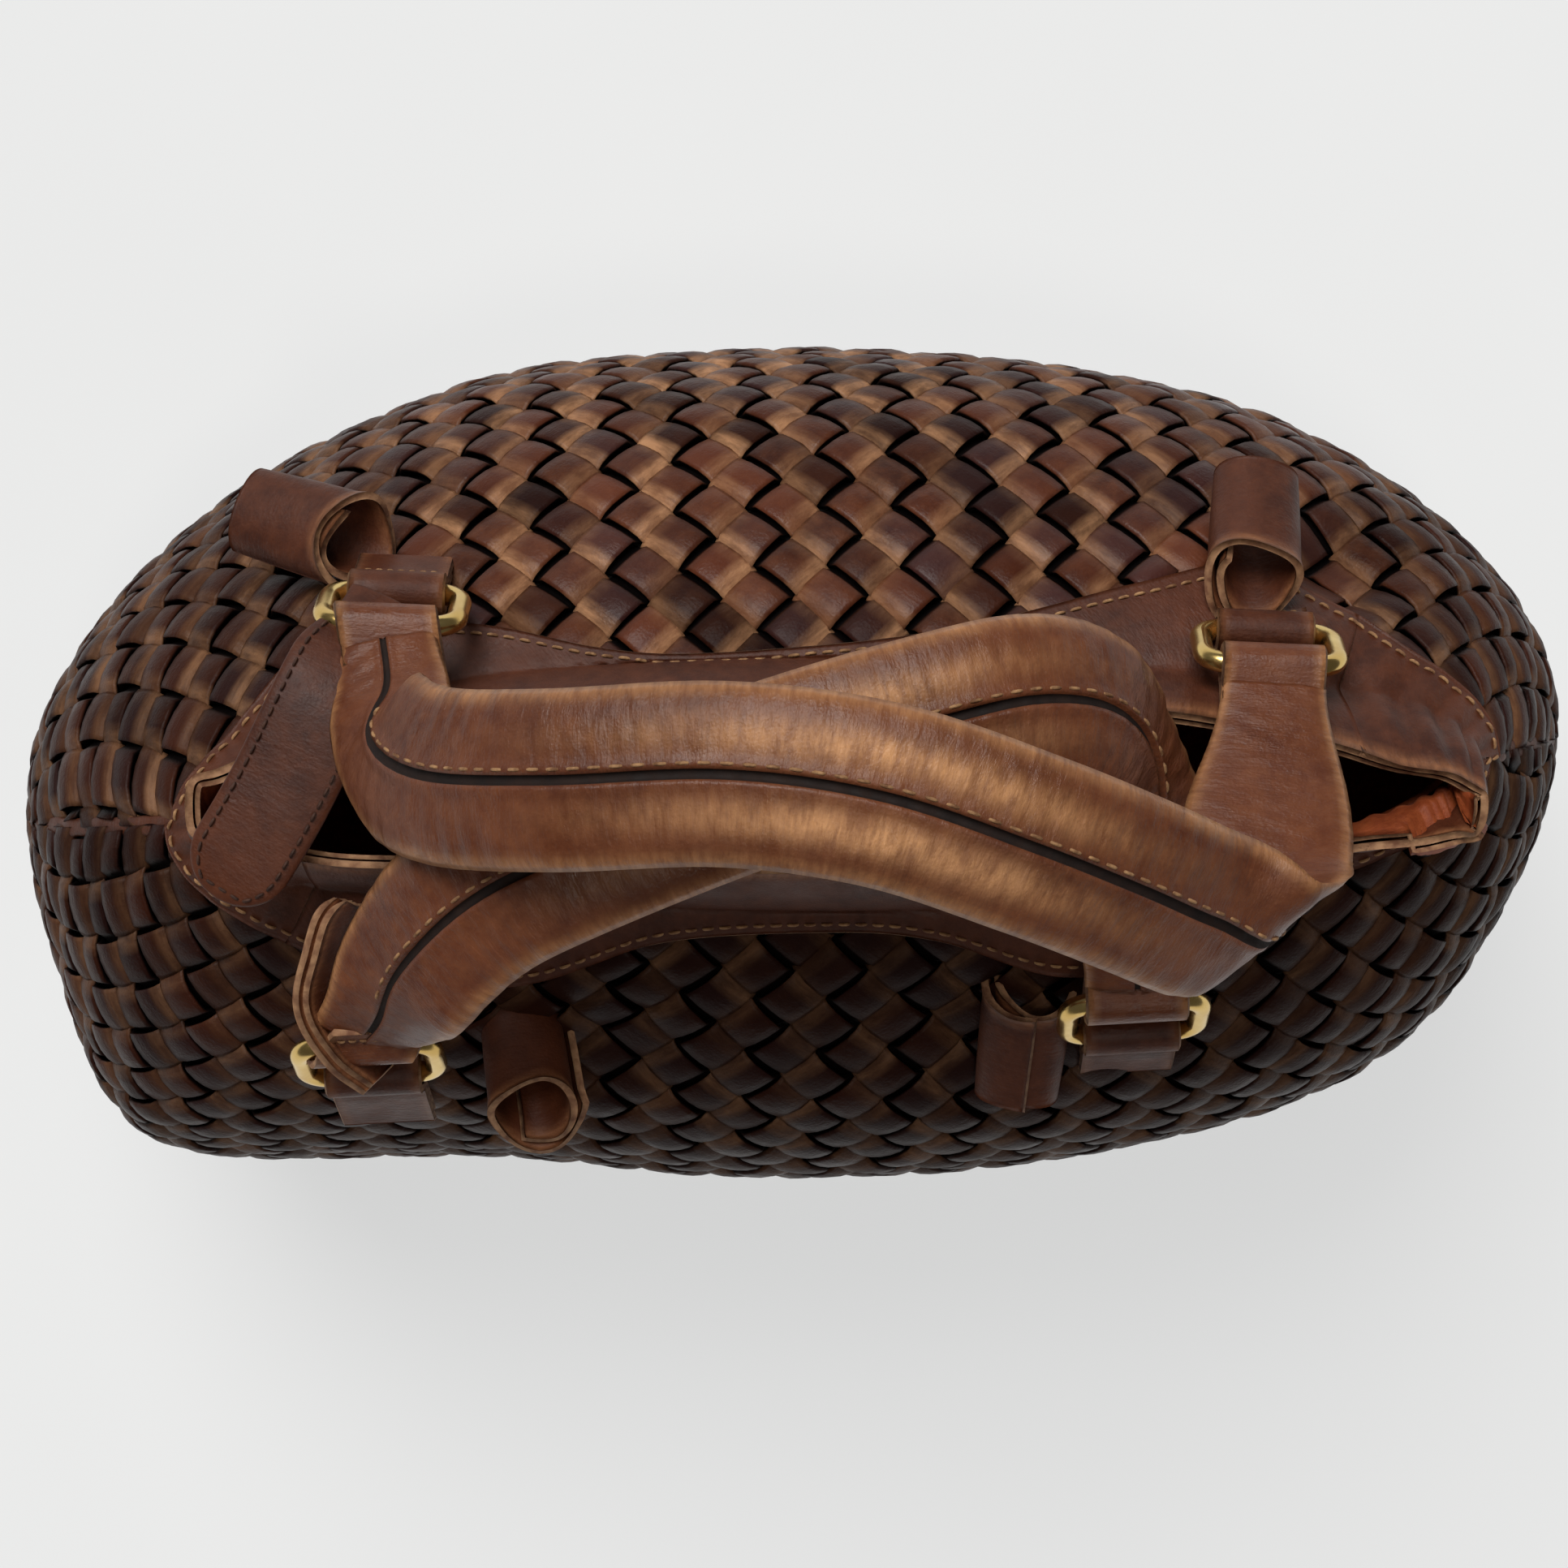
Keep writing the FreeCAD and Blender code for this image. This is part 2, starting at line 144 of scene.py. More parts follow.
def piece(name, points, quads, slot, nodes=(), body="bag", materials=(), faces=None, **attributes):
    """A smooth mesh that rides on a body, takes the given materials and stands for CAD nodes; its slot is not
    used.

    faces holds each quad's material number, and attributes are floats or vectors on the points.
    """
    mesh = bpy.data.meshes.new(name)
    mesh.vertices.add(len(points))
    mesh.vertices.foreach_set("co", np.ascontiguousarray(points, np.float32).ravel())
    quads = np.asarray(quads, np.int32)
    mesh.loops.add(quads.size)
    mesh.loops.foreach_set("vertex_index", quads.ravel())
    mesh.polygons.add(len(quads))
    mesh.polygons.foreach_set("loop_start", np.arange(0, quads.size, 4, dtype=np.int32))
    mesh.polygons.foreach_set("loop_total", np.full(len(quads), 4, np.int32))
    if faces is not None:
        mesh.polygons.foreach_set("material_index", np.asarray(faces, np.int32))
    mesh.update(calc_edges=True)
    for key, values in attributes.items():
        kind, field = ("FLOAT", "value") if values.ndim == 1 else ("FLOAT_VECTOR", "vector")
        layer = mesh.attributes.new(key, kind, "POINT")
        layer.data.foreach_set(field, np.ascontiguousarray(values, np.float32).ravel())
    mesh.validate()
    mesh.shade_smooth()
    made = add_object(name, mesh)
    for material in materials:
        mesh.materials.append(material)
    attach(made, body)
    if nodes:
        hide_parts(*nodes)
    return made


def grid_quads(rows, columns, wrap_rows=False, wrap_columns=False):
    """Quads of a rows by columns grid of points."""
    here = np.arange(rows * columns).reshape(rows, columns)
    beside = np.roll(here, -1, axis=1)
    quads = np.stack([here, beside, np.roll(beside, -1, axis=0), np.roll(here, -1, axis=0)], axis=-1)
    return quads[:rows if wrap_rows else -1, :columns if wrap_columns else -1].reshape(-1, 4)


def grid_normals(grid, wrap_rows=False, middle=None):
    """Unit normals of a grid of points, turned away from a middle point or points if one is given."""
    if wrap_rows:
        along = np.roll(grid, -1, axis=0) - np.roll(grid, 1, axis=0)
    else:
        along = np.gradient(grid, axis=0)
    normals = unit(np.cross(along, np.gradient(grid, axis=1)))
    if middle is not None:
        normals *= np.sign(np.sum(normals * (grid - middle), axis=2, keepdims=True))
    return normals


def distances(line):
    """How far along a line each of its points is."""
    return np.concatenate([[0], np.cumsum(np.linalg.norm(np.diff(line[:, :3], axis=0), axis=1))])


def read_along(line, travelled, wanted):
    """A line's values at wanted distances along it."""
    return np.stack([np.interp(wanted, travelled, line[:, k]) for k in range(line.shape[1])], axis=1)


def thick_sheet(name, grid, thickness, materials, slot, nodes=(), body="bag", wear_and_highlight=None, wrap_rows=False):
    """A sheet of leather of that thickness about a grid, with rounded raw edges (second material)."""
    rows, columns, _ = grid.shape
    normals = grid_normals(grid, wrap_rows)
    bulge = 0.3 * thickness
    middle = grid.copy()
    for end, near in ((0, 1), (-1, -2)):
        middle[:, end] += unit(grid[:, end] - grid[:, near]) * bulge
        if not wrap_rows:
            middle[end] += unit(grid[end] - grid[near]) * bulge
    layers = [grid + normals * thickness / 2, middle, grid - normals * thickness / 2]
    count = rows * columns
    index = np.arange(count).reshape(rows, columns)
    if wrap_rows:
        loops = [index[:, 0], index[::-1, -1]]
    else:
        loops = [np.concatenate([index[:-1, 0], index[-1, :-1], index[:0:-1, -1], index[0, :0:-1]])]
    face = grid_quads(rows, columns, wrap_rows)
    quads = [face[:, ::-1], face + 2 * count]
    broad = 2 * len(face)
    for edge in loops:
        following = np.roll(edge, -1)
        for low in (0, count):
            high = low + count
            quads.append(np.stack([edge + low, following + low, following + high, edge + high], axis=1))
    used, quads = np.unique(np.vstack(quads), return_inverse=True)
    quads = quads.reshape(-1, 4)
    values = {"flow": flow_of(grid)}
    if wear_and_highlight is not None:
        values["wear_and_highlight"] = np.broadcast_to(wear_and_highlight, (rows, columns)).ravel()
    values = {key: np.concatenate([value] * 3)[used] for key, value in values.items()}
    points = np.concatenate([layer.reshape(-1, 3) for layer in layers])[used]
    return piece(name, points, quads, slot, nodes, body, materials, np.arange(len(quads)) >= broad, **values)


def flow_of(grid):
    """Distance along and across a grid of points, for grain that follows the leather."""
    along = np.cumsum(np.linalg.norm(np.diff(grid, axis=0, prepend=grid[:1]), axis=2), axis=0)
    across = np.cumsum(np.linalg.norm(np.diff(grid, axis=1, prepend=grid[:, :1]), axis=2), axis=1)
    flow = np.stack([along, across, np.zeros_like(along)], axis=-1)
    return flow.reshape(-1, 3)


def sweep(name, line, across, up, widths, depths, profile, materials, slot, nodes=(), body="bag",
          faces=None, ripple=None, wear_and_highlight=None):
    """A closed solid along a line whose section is profile, in shares of width and depth."""
    stations, count = len(line), len(profile)
    offsets = across[:, None] * (profile[None, :, :1] * widths[:, None, None])
    offsets = offsets + up[:, None] * (profile[None, :, 1:] * depths[:, None, None])
    grid = line[:, None] + offsets
    if ripple is not None:
        grid = grid + up[:, None] * ripple[..., None]
    points = np.concatenate([grid.reshape(-1, 3), grid[:1].mean(axis=1), grid[-1:].mean(axis=1)])
    quads = [grid_quads(stations, count, wrap_columns=True)]
    hub = stations * count
    ring = np.arange(0, count, 2)
    for base, flip in ((0, 1), (hub - count, -1)):
        cap = np.stack([np.full(len(ring), hub), base + (ring + 2) % count, base + (ring + 1) % count,
                        base + ring], axis=1)
        quads.append(cap[:, ::flip])
        hub += 1
    quads = np.vstack(quads)
    slots = np.zeros(len(quads), int)
    if faces is not None:
        slots[:(stations - 1) * count] = np.tile(faces, stations - 1)
    flow = np.stack(np.broadcast_arrays(distances(line)[:, None], profile[None, :, 0] * widths[:, None],
                                        np.zeros((1, 1))), axis=-1).reshape(-1, 3)
    values = {"flow": np.vstack([flow, flow[:1], flow[-1:]])}
    if wear_and_highlight is not None:
        values["wear_and_highlight"] = np.concatenate([wear_and_highlight.ravel(), [0, 0]])
    return piece(name, points, quads, slot, nodes, body, materials, slots, **values)


def capsule(length, radius):
    """Points and quads of a short six-sided thread along X that dips at both ends."""
    sides = 6
    stations = np.array([-0.5, -0.42, -0.2, 0.2, 0.42, 0.5])
    girth = np.array([0.25, 0.8, 1.0, 1.0, 0.8, 0.25])
    rise = np.array([-0.8, -0.2, 0.35, 0.35, -0.2, -0.8])
    angle = np.linspace(0, 2 * math.pi, sides, endpoint=False)
    points = np.zeros((len(stations), sides, 3))
    points[..., 0] = stations[:, None] * length
    points[..., 1] = girth[:, None] * np.cos(angle) * radius
    points[..., 2] = girth[:, None] * np.sin(angle) * radius + rise[:, None] * radius
    quads = grid_quads(len(stations), sides, wrap_columns=True)
    for base, order in ((0, 1), ((len(stations) - 1) * sides, -1)):
        caps = base + np.array([[0, 3, 2, 1], [0, 5, 4, 3]])
        quads = np.vstack([quads, caps[:, ::order]])
    return points.reshape(-1, 3), quads


def stitches(name, line, normals, stitch, material, slot, body="bag"):
    """A row of running stitches laid along a line on a surface."""
    pitch, length, radius = stitch
    travelled = distances(line)
    wanted = np.arange(pitch / 2, travelled[-1] - pitch / 4, pitch)
    third = length / 3
    centre, ahead, behind = (read_along(line, travelled, wanted + shift) for shift in (0, third, -third))
    up = unit(read_along(normals, travelled, wanted))
    along = unit(ahead - behind)
    side = unit(np.cross(up, along))
    points, quads = capsule(length, radius)
    placed = (centre[:, None] + along[:, None] * points[None, :, :1] + side[:, None] * points[None, :, 1:2]
              + up[:, None] * points[None, :, 2:])
    shift = np.arange(len(wanted))[:, None, None] * len(points)
    quads = (quads[None] + shift).reshape(-1, 4)
    return piece(name, placed.reshape(-1, 3), quads, slot, (), body, (material,))


# -------- materials
def colour(red, green, blue):
    """A colour given as 8-bit screen values, in linear light."""
    channels = np.array([red, green, blue]) / 255
    linear = np.where(channels <= 0.04045, channels / 12.92, ((channels + 0.055) / 1.055) ** 2.4)
    return (*linear, 1.0)


class Nodes:
    """A new material's node tree, with short calls for the nodes used here."""

    def __init__(self, name):
        self.material = bpy.data.materials.new(name)
        self.material.use_nodes = True
        self.tree = self.material.node_tree
        self.shader = self.tree.nodes["Principled BSDF"]

    def fill(self, node, inputs):
        """Puts a plain value or a link into each of a node's inputs."""
        for key, value in inputs.items():
            if isinstance(value, bpy.types.NodeSocket):
                self.tree.links.new(value, node.inputs[key])
            else:
                node.inputs[key].default_value = value

    def add(self, kind, output, inputs, **settings):
        """The output of a new node."""
        node = self.tree.nodes.new(kind)
        for key, value in settings.items():
            setattr(node, key, value)
        self.fill(node, inputs)
        return node.outputs[output]

    def attribute(self, name, output="Fac"):
        return self.add("ShaderNodeAttribute", output, {}, attribute_name=name)

    def place(self):
        return self.add("ShaderNodeTexCoord", "Object", {})

    def stretched(self, vector, scale):
        return self.add("ShaderNodeMapping", "Vector", {"Vector": vector, "Scale": scale})

    def noise(self, vector, scale, detail=3.0, roughness=0.55):
        inputs = {"Vector": vector, "Scale": scale, "Detail": detail, "Roughness": roughness}
        return self.add("ShaderNodeTexNoise", "Fac", inputs)

    def span(self, value, low, high, new_low=0.0, new_high=1.0):
        inputs = {"Value": value, "From Min": low, "From Max": high, "To Min": new_low, "To Max": new_high}
        return self.add("ShaderNodeMapRange", "Result", inputs, clamp=True)

    def maths(self, operation, first, second):
        return self.add("ShaderNodeMath", "Value", {0: first, 1: second}, operation=operation)

    def mix(self, factor, first, second):
        return self.add("ShaderNodeMix", 2, {"Factor": factor, 6: first, 7: second}, data_type="RGBA")

    def relief(self, height, distance, strength, **normal):
        inputs = {"Height": height, "Distance": distance, "Strength": strength, **normal}
        return self.add("ShaderNodeBump", "Normal", inputs)


def leather(name, shades, gloss, tinted=False, wrinkle=0.5, wear_and_highlight_gain=1.0):
    """Brown leather: cloudy dye, fine pores, creases across its length, and paler places that are partly
    scuffing and partly painted highlight; the tinted kind also carries painted shade.
    """
    n = Nodes(name)
    dark, middle, light, pale_wear_and_highlight = (colour(*shade) for shade in shades)
    place = n.place()
    flow = n.attribute("flow", "Vector")
    cloud = n.span(n.noise(place, 26, 4), 0.32, 0.68)
    base = n.mix(cloud, dark, middle)
    fleck = n.span(n.noise(place, 210, 5, 0.7), 0.38, 0.72)
    base = n.mix(n.maths("MULTIPLY", fleck, 0.5), base, light)
    if tinted:
        tint, shade = n.attribute("tint"), n.attribute("shade")
        base = n.mix(n.span(tint, 0.5, 1.0, 0.0, 0.8), base, colour(56, 31, 32))
        base = n.mix(n.span(tint, 0.42, 0.0, 0.0, 0.6), base, colour(98, 48, 28))
        # the shade attribute is random tone per cell plus painted shade: it darkens the colour towards near
        # black and lowers the specular level
        base = n.mix(n.span(shade, 0.0, 1.0, 0.0, 0.88), base, colour(24, 10, 8))
        n.fill(n.shader, {"Specular IOR Level": n.span(shade, 0.0, 1.0, 0.20, 0.05)})
    else:
        n.fill(n.shader, {"Specular IOR Level": 0.25})
    streaks = n.noise(n.stretched(flow, (520, 110, 1)), 1.0, 5, 0.65)
    scuff = n.span(n.mix(0.45, streaks, n.noise(place, 90, 5, 0.6)), 0.42, 0.60)
    # paler mark from the mesh: scuffing, and on the weave's cell ends and the handles' crests also a painted
    # highlight
    wear_and_highlight = n.maths("MULTIPLY", n.attribute("wear_and_highlight"), n.span(scuff, 0, 1, 0.35, 1.0))
    wear_and_highlight = n.maths("MULTIPLY", wear_and_highlight, wear_and_highlight_gain)
    base = n.mix(wear_and_highlight, base, pale_wear_and_highlight)
    if tinted:
        # painted shade: strip undersides and the ends where a strip dives under the next turn near black
        base = n.mix(n.span(n.attribute("painted_crevice_shade"), 0.15, 0.8), base, colour(9, 6, 6))
    creases = n.noise(n.stretched(flow, (950, 210, 1)), 1.0, 5, 0.62)
    pores = n.add("ShaderNodeTexVoronoi", "Distance", {"Vector": place, "Scale": 1300})
    normal = n.relief(pores, 0.10 * MM, 0.5)
    normal = n.relief(n.noise(place, 900, 4, 0.6), 0.16 * MM, 0.6, Normal=normal)
    normal = n.relief(creases, 0.3 * MM, wrinkle, Normal=normal)
    normal = n.relief(n.noise(place, 60, 3), 0.8 * MM, 0.4, Normal=normal)
    rough = n.span(n.noise(place, 75, 5), 0.3, 0.7, gloss - 0.09, gloss + 0.13)
    n.fill(n.shader, {"Base Color": base, "Normal": normal, "Roughness": rough})
    return n.material


def plain(name, first, second, scale, rough, relief_mm=0.15, metallic=0.0):
    """A mottled finish of two colours."""
    n = Nodes(name)
    place = n.place()
    n.fill(n.shader, {
        "Base Color": n.mix(n.span(n.noise(place, scale, 4), 0.35, 0.65), first, second),
        "Roughness": n.span(n.noise(place, scale * 2, 4), 0.3, 0.7, rough - 0.06, rough + 0.08),
        "Normal": n.relief(n.noise(place, scale * 4, 3), relief_mm * MM, 0.7),
        "Metallic": metallic,
        "Specular IOR Level": 0.3,
    })
    return n.material


# the palest colour is scuffing that also serves as painted highlight on the cell ends
WOVEN = leather("woven_leather", ((46, 21, 12), (86, 44, 27), (114, 67, 41), (186, 138, 100)), 0.39,
                tinted=True, wear_and_highlight_gain=0.95)
SMOOTH = leather("smooth_leather", ((52, 23, 13), (77, 38, 21), (98, 53, 31), (142, 94, 62)), 0.50,
                 wrinkle=0.6)
# the palest colour is scuffing, which on the handles' crests also stands for a painted highlight
STRAP = leather("strap_leather", ((74, 36, 21), (98, 53, 32), (122, 74, 46), (204, 150, 102)), 0.33,
                wrinkle=0.95)
LINING = leather("lining_leather", ((98, 40, 16), (138, 64, 30), (162, 86, 46), (175, 104, 62)), 0.6,
                 wrinkle=0.9)
RAW_EDGE = plain("raw_edge", colour(156, 118, 86), colour(104, 68, 48), 300, 0.75)
THREAD = plain("tan_thread", colour(160, 122, 84), colour(104, 70, 44), 500, 0.7)
DARK_THREAD = plain("brown_thread", colour(70, 44, 32), colour(46, 28, 22), 500, 0.7)
GROOVE = plain("seam_shadow", colour(20, 10, 7), colour(32, 18, 12), 260, 0.8)
# near-black sheet behind the weave: painted shade that shows through the gaps between strips
SHADE_BACKING = plain("shade_backing", colour(8, 6, 6), colour(13, 10, 9), 90, 0.9)
BRASS = plain("pale_brass", colour(226, 198, 132), colour(200, 164, 92), 60, 0.22, 0.03, 1.0)
BASE = leather("base_leather", ((44, 27, 21), (64, 40, 31), (80, 54, 41), (110, 78, 58)), 0.55)


# -------- the soft shell
class Panel:
    """One face of the shell: column 0 at its left end seam, row 0 at the rim, last row at the base."""

    def __init__(self, start, end):
        angle = np.linspace(start, end, COLUMNS)[None, :]
        profile = smooth_curve(LEVELS, ROWS)[::-1]
        height, length, depth, lean = (profile[:, k, None] for k in range(4))
        low_down = bump(height, 0.42, 0.42)
        corners = (1.5 * bump(angle, 1.24 * math.pi, 0.40) + 0.5 * bump(angle, 1.72 * math.pi, 0.45)
                   + 0.3 * bump(angle, 0.75 * math.pi, 0.45))
        power = 2 / (2.06 + corners * low_down)
        cosine, sine = np.cos(angle), np.sin(angle)
        x = lean * RIM_MIDDLE[0] + length * HALF_LENGTH * signed_power(cosine, power)
        y = lean * RIM_MIDDLE[1] + depth * HALF_DEPTH * signed_power(sine, power)
        shear = 7 * MM * smoothstep(x, 0.3 * HALF_LENGTH, HALF_LENGTH)
        y = y + shear - 15 * MM * smoothstep(-x, 0.3 * HALF_LENGTH, HALF_LENGTH)
        z = np.broadcast_to(height * RIM_HEIGHT, x.shape)
        grid = np.stack([x, y, z], axis=-1)
        middle = np.array([0, 0, RIM_HEIGHT * 0.45])
        self.normals = grid_normals(grid, middle=middle)
        self.grid = grid + self.normals * self.sag(grid, angle, height)[..., None]
        self.normals = grid_normals(self.grid, middle=middle)
        self.v, along, _ = np.moveaxis(flow_of(grid).reshape(grid.shape), -1, 0)
        self.u = along - along[:, COLUMNS // 2, None]
        self.slopes = [np.gradient(values, axis=axis) for values in (self.u, self.v) for axis in (1, 0)]

    @staticmethod
    def sag(grid, angle, height):
        """How far the soft leather stands in or out of the plain shape."""
        free = smoothstep(height, 0.02, 0.3) * smoothstep(height, 1.0, 0.8)
        waves = 1.8 * np.sin(3 * angle + 1.3) * np.sin(5.5 * height + 0.6)
        waves = waves + np.sin(7 * angle + 0.4) * np.sin(9.0 * height + 2.0)
        amount = free * waves * MM
        for tube, shift, radius, depth in DENTS:
            centre = sum(corners_of(f"pleat_tube_{tube}")) / 2 + np.array(shift) * MM
            reach = np.linalg.norm(grid - centre, axis=2)
            amount = amount - depth * MM * np.exp(-((reach / (radius * MM)) ** 2))
        return amount

    @staticmethod
    def read(values, row, column):
        """Values between the grid's points."""
        top = np.clip(np.floor(row).astype(int), 0, ROWS - 2)
        left = np.clip(np.floor(column).astype(int), 0, COLUMNS - 2)
        down, aside = row - top, column - left
        if values.ndim == 3:
            down, aside = down[..., None], aside[..., None]
        above = values[top, left] * (1 - aside) + values[top, left + 1] * aside
        below = values[top + 1, left] * (1 - aside) + values[top + 1, left + 1] * aside
        return above * (1 - down) + below * down

    def find(self, u, v):
        """Row and column where the leather's own coordinates are u and v, and whether they lie on it."""
        middle = COLUMNS // 2
        row = np.interp(v, self.v[:, middle], np.arange(ROWS))
        column = middle + u / self.slopes[0][ROWS // 2, middle]
        column = np.clip(column, 2, COLUMNS - 3)
        for _ in range(14):
            u_error = u - self.read(self.u, row, column)
            v_error = v - self.read(self.v, row, column)
            a, b, c, d = (self.read(slope, row, column) for slope in self.slopes)
            det = a * d - b * c
            det = np.where(np.abs(det) < 1e-12, 1e-12, det)
            column = np.clip(column + np.clip((d * u_error - b * v_error) / det, -30, 30), 0, COLUMNS - 1)
            row = np.clip(row + np.clip((a * v_error - c * u_error) / det, -20, 20), 0, ROWS - 1)
        miss = np.hypot(u - self.read(self.u, row, column), v - self.read(self.v, row, column))
        return row, column, miss < 0.5 * MM

    def surface(self, row, column, height):
        """Points that stand height above the shell."""
        points = self.read(self.grid, row, column)
        normals = unit(self.read(self.normals, row, column))
        return points + normals * np.asarray(height)[..., None], normals


# hollows beside the rolled tubes: (tube, shift from its middle, radius, depth), in mm
DENTS = (
    ("back_left", (-20, 4, 0), 20, 7),
    ("back_right", (24, 2, 0), 17, 13),
    ("front_left", (20, 2, 0), 18, 5),
    ("front_right", (-18, 0, 0), 18, 5),
)
PANELS = {"back": Panel(math.pi, 0.0), "front": Panel(math.pi, 2 * math.pi)}

# how far below the rim the smooth band reaches, at places along it: (x, depth), both in mm
BAND_FOOT = {
    "back": ((-150, 9), (-128, 10), (-105, 22), (-75, 16), (-45, 5), (-20, 2), (20, 5), (50, 12), (80, 24),
             (105, 34), (125, 26), (140, 17), (165, 11)),
    "front": ((-150, 9), (-120, 16), (-90, 24), (-60, 26), (-30, 10), (10, 6), (35, 9), (62, 20), (90, 18),
              (120, 7), (165, 7)),
}


def band_foot(side, x):
    """Length of the band below the rim, at a place along the rim."""
    curve = smooth_curve(np.array(BAND_FOOT[side]) * MM, 120)
    return np.interp(x, curve[:, 0], curve[:, 1])


# -------- the weave
PITCH = 12.4 * MM  # from one strip's middle to the next
STRIP_THICKNESS = 1.5 * MM
WAVE = 1.6 * MM  # how far a strip rides above and dives below the weave's middle
CROWN = 0.8 * MM
TILT = 1.0 * MM
WEAVE_INSET = 1.6 * MM
REACH = 46  # strips of one set on each side of the middle one
CELL_STEPS = np.array([-0.5, -0.37, -0.14, 0.14, 0.37])  # stations along each crossing
STEP_RISE = np.array([-0.05, 0.62, 1.0, 1.0, 0.86])  # how high an upper strip stands at them
# a strip's section in shares of its width: six points over its crowned top, two under it
TOP = np.array([-0.5, -0.4, -0.14, 0.14, 0.4, 0.5])
SHARES = np.concatenate([TOP, [0.47, -0.47]])
LIFT = np.concatenate([STRIP_THICKNESS / 2 - CROWN * np.abs(2 * TOP) ** 3.0,
                       [-STRIP_THICKNESS / 2 - CROWN * 0.7] * 2])
RIMWARD_EDGE = (SHARES > 0) * np.concatenate([smoothstep(np.abs(TOP), 0.3, 0.5), [1, 1]])
# the two under-corners of a strip's section, which get painted shade
UNDERSIDE = np.array([0, 0, 0, 0, 0, 0, 1, 1])


def strip_height(strip, corner, cell, along, over, family):
    """How far a strip's skin stands off the shell as it rides over one strip and dives under the next."""
    wave = np.where(over, np.interp(along, CELL_STEPS, STEP_RISE), np.where(along < -0.45, -0.35, -1.0))
    pucker = 0.3 * MM * np.sin(strip * 5.1 + cell * 3.7 + family)
    return WAVE * wave + LIFT[corner] - TILT * SHARES[corner] - WEAVE_INSET + pucker * over


def strip_quads(inside):
    """Quads round each strip, between neighbouring stations that lie on the panel, with closed ends."""
    corners = inside.shape[2]
    order = np.arange(inside.size).reshape(inside.shape)
    here = inside.any(axis=2)
    join = here[:, :-1] & here[:, 1:]
    quads = []
    for corner in range(corners):
        pair = order[..., [corner, (corner + 1) % corners]]
        quads.append(np.concatenate([pair[:, :-1], pair[:, 1:, ::-1]], axis=-1)[join])
    starts = join & ~np.pad(join, ((0, 0), (1, 0)))[:, :-1]
    stops = join & ~np.pad(join, ((0, 0), (0, 1)))[:, 1:]
    for mask, at, flip in ((starts, slice(None, -1), -1), (stops, slice(1, None), 1)):
        rings = order[:, at][mask]
        for cap in ((0, 5, 6, 7), (1, 2, 3, 4), (0, 1, 4, 5)):
            quads.append(rings[:, list(cap)[::flip]])
    return np.vstack(quads)


def strip_set(side, family, tints, shades):
    """One of the two crossing sets of strips: its points, its quads and what its leather's look needs."""
    panel = PANELS[side]
    index = np.arange(-REACH, REACH + 1)
    steps = (index[:, None] + CELL_STEPS[None, :]).ravel()
    strip, step, corner = np.meshgrid(index, steps, np.arange(len(SHARES)), indexing="ij")
    width = PITCH * (0.945 + 0.025 * np.sin(strip * 2.1 + family) + 0.015 * np.sin(step * 1.3 + strip))
    slip = 0.025 * PITCH + 0.25 * MM * np.sin(step * 0.9 + strip * 1.7)
    across = strip * PITCH + SHARES[corner] * width + slip
    run = step * PITCH
    u = (run - across if family == 0 else across - run) / math.sqrt(2)
    v = (across + run) / math.sqrt(2)
    cell = np.floor(step + 0.5001).astype(int)
    along = step - cell
    over = (cell + strip + family) % 2 == 0
    keep = (v > -2 * PITCH) & (v < panel.v.max() + PITCH) & (np.abs(u) < panel.u.max() + PITCH)
    row, column = np.zeros((2, *u.shape))
    inside = np.zeros(u.shape, bool)
    row[keep], column[keep], inside[keep] = panel.find(u[keep], np.maximum(v[keep], 0))
    x = panel.read(panel.grid, row, column)[..., 0]
    inside &= v > band_foot(side, x) - 3 * MM
    points, _ = panel.surface(row, column, strip_height(strip, corner, cell, along, over, family))
    own, other = strip + REACH, np.clip(cell + REACH, 0, 2 * REACH)
    lively = 0.25 + 0.75 * tints[other, own, family]
    # paler marks on upper cells, scuffing and painted highlight: strongest round the back panel's middle, at
    # each cell's starting end and along its rimward edge
    rubbed_and_highlit = 0.25 + 0.75 * bump(x, -0.01, 0.12) * (side == "back")
    pale_wear_and_highlight = 0.9 * smoothstep(along, -0.14, -0.40) + 0.35 * RIMWARD_EDGE[corner]
    # painted shade at the ends where a strip dives under the next, and on its underside
    sunk = np.where(over, smoothstep(along, 0.34, 0.42), 1.0)
    return {
        "points": points.reshape(-1, 3),
        "quads": strip_quads(inside),
        "tint": tints[own, other, family].ravel(),
        "shade": (shades[own, other, family] ** 3).ravel(),
        "wear_and_highlight": np.clip(over * lively * rubbed_and_highlit * pale_wear_and_highlight, 0, 1).ravel(),
        "painted_crevice_shade": np.maximum(UNDERSIDE[corner], sunk).ravel(),
        "flow": np.stack([run + strip * 0.37, across, np.zeros_like(run)], axis=-1).reshape(-1, 3),
    }


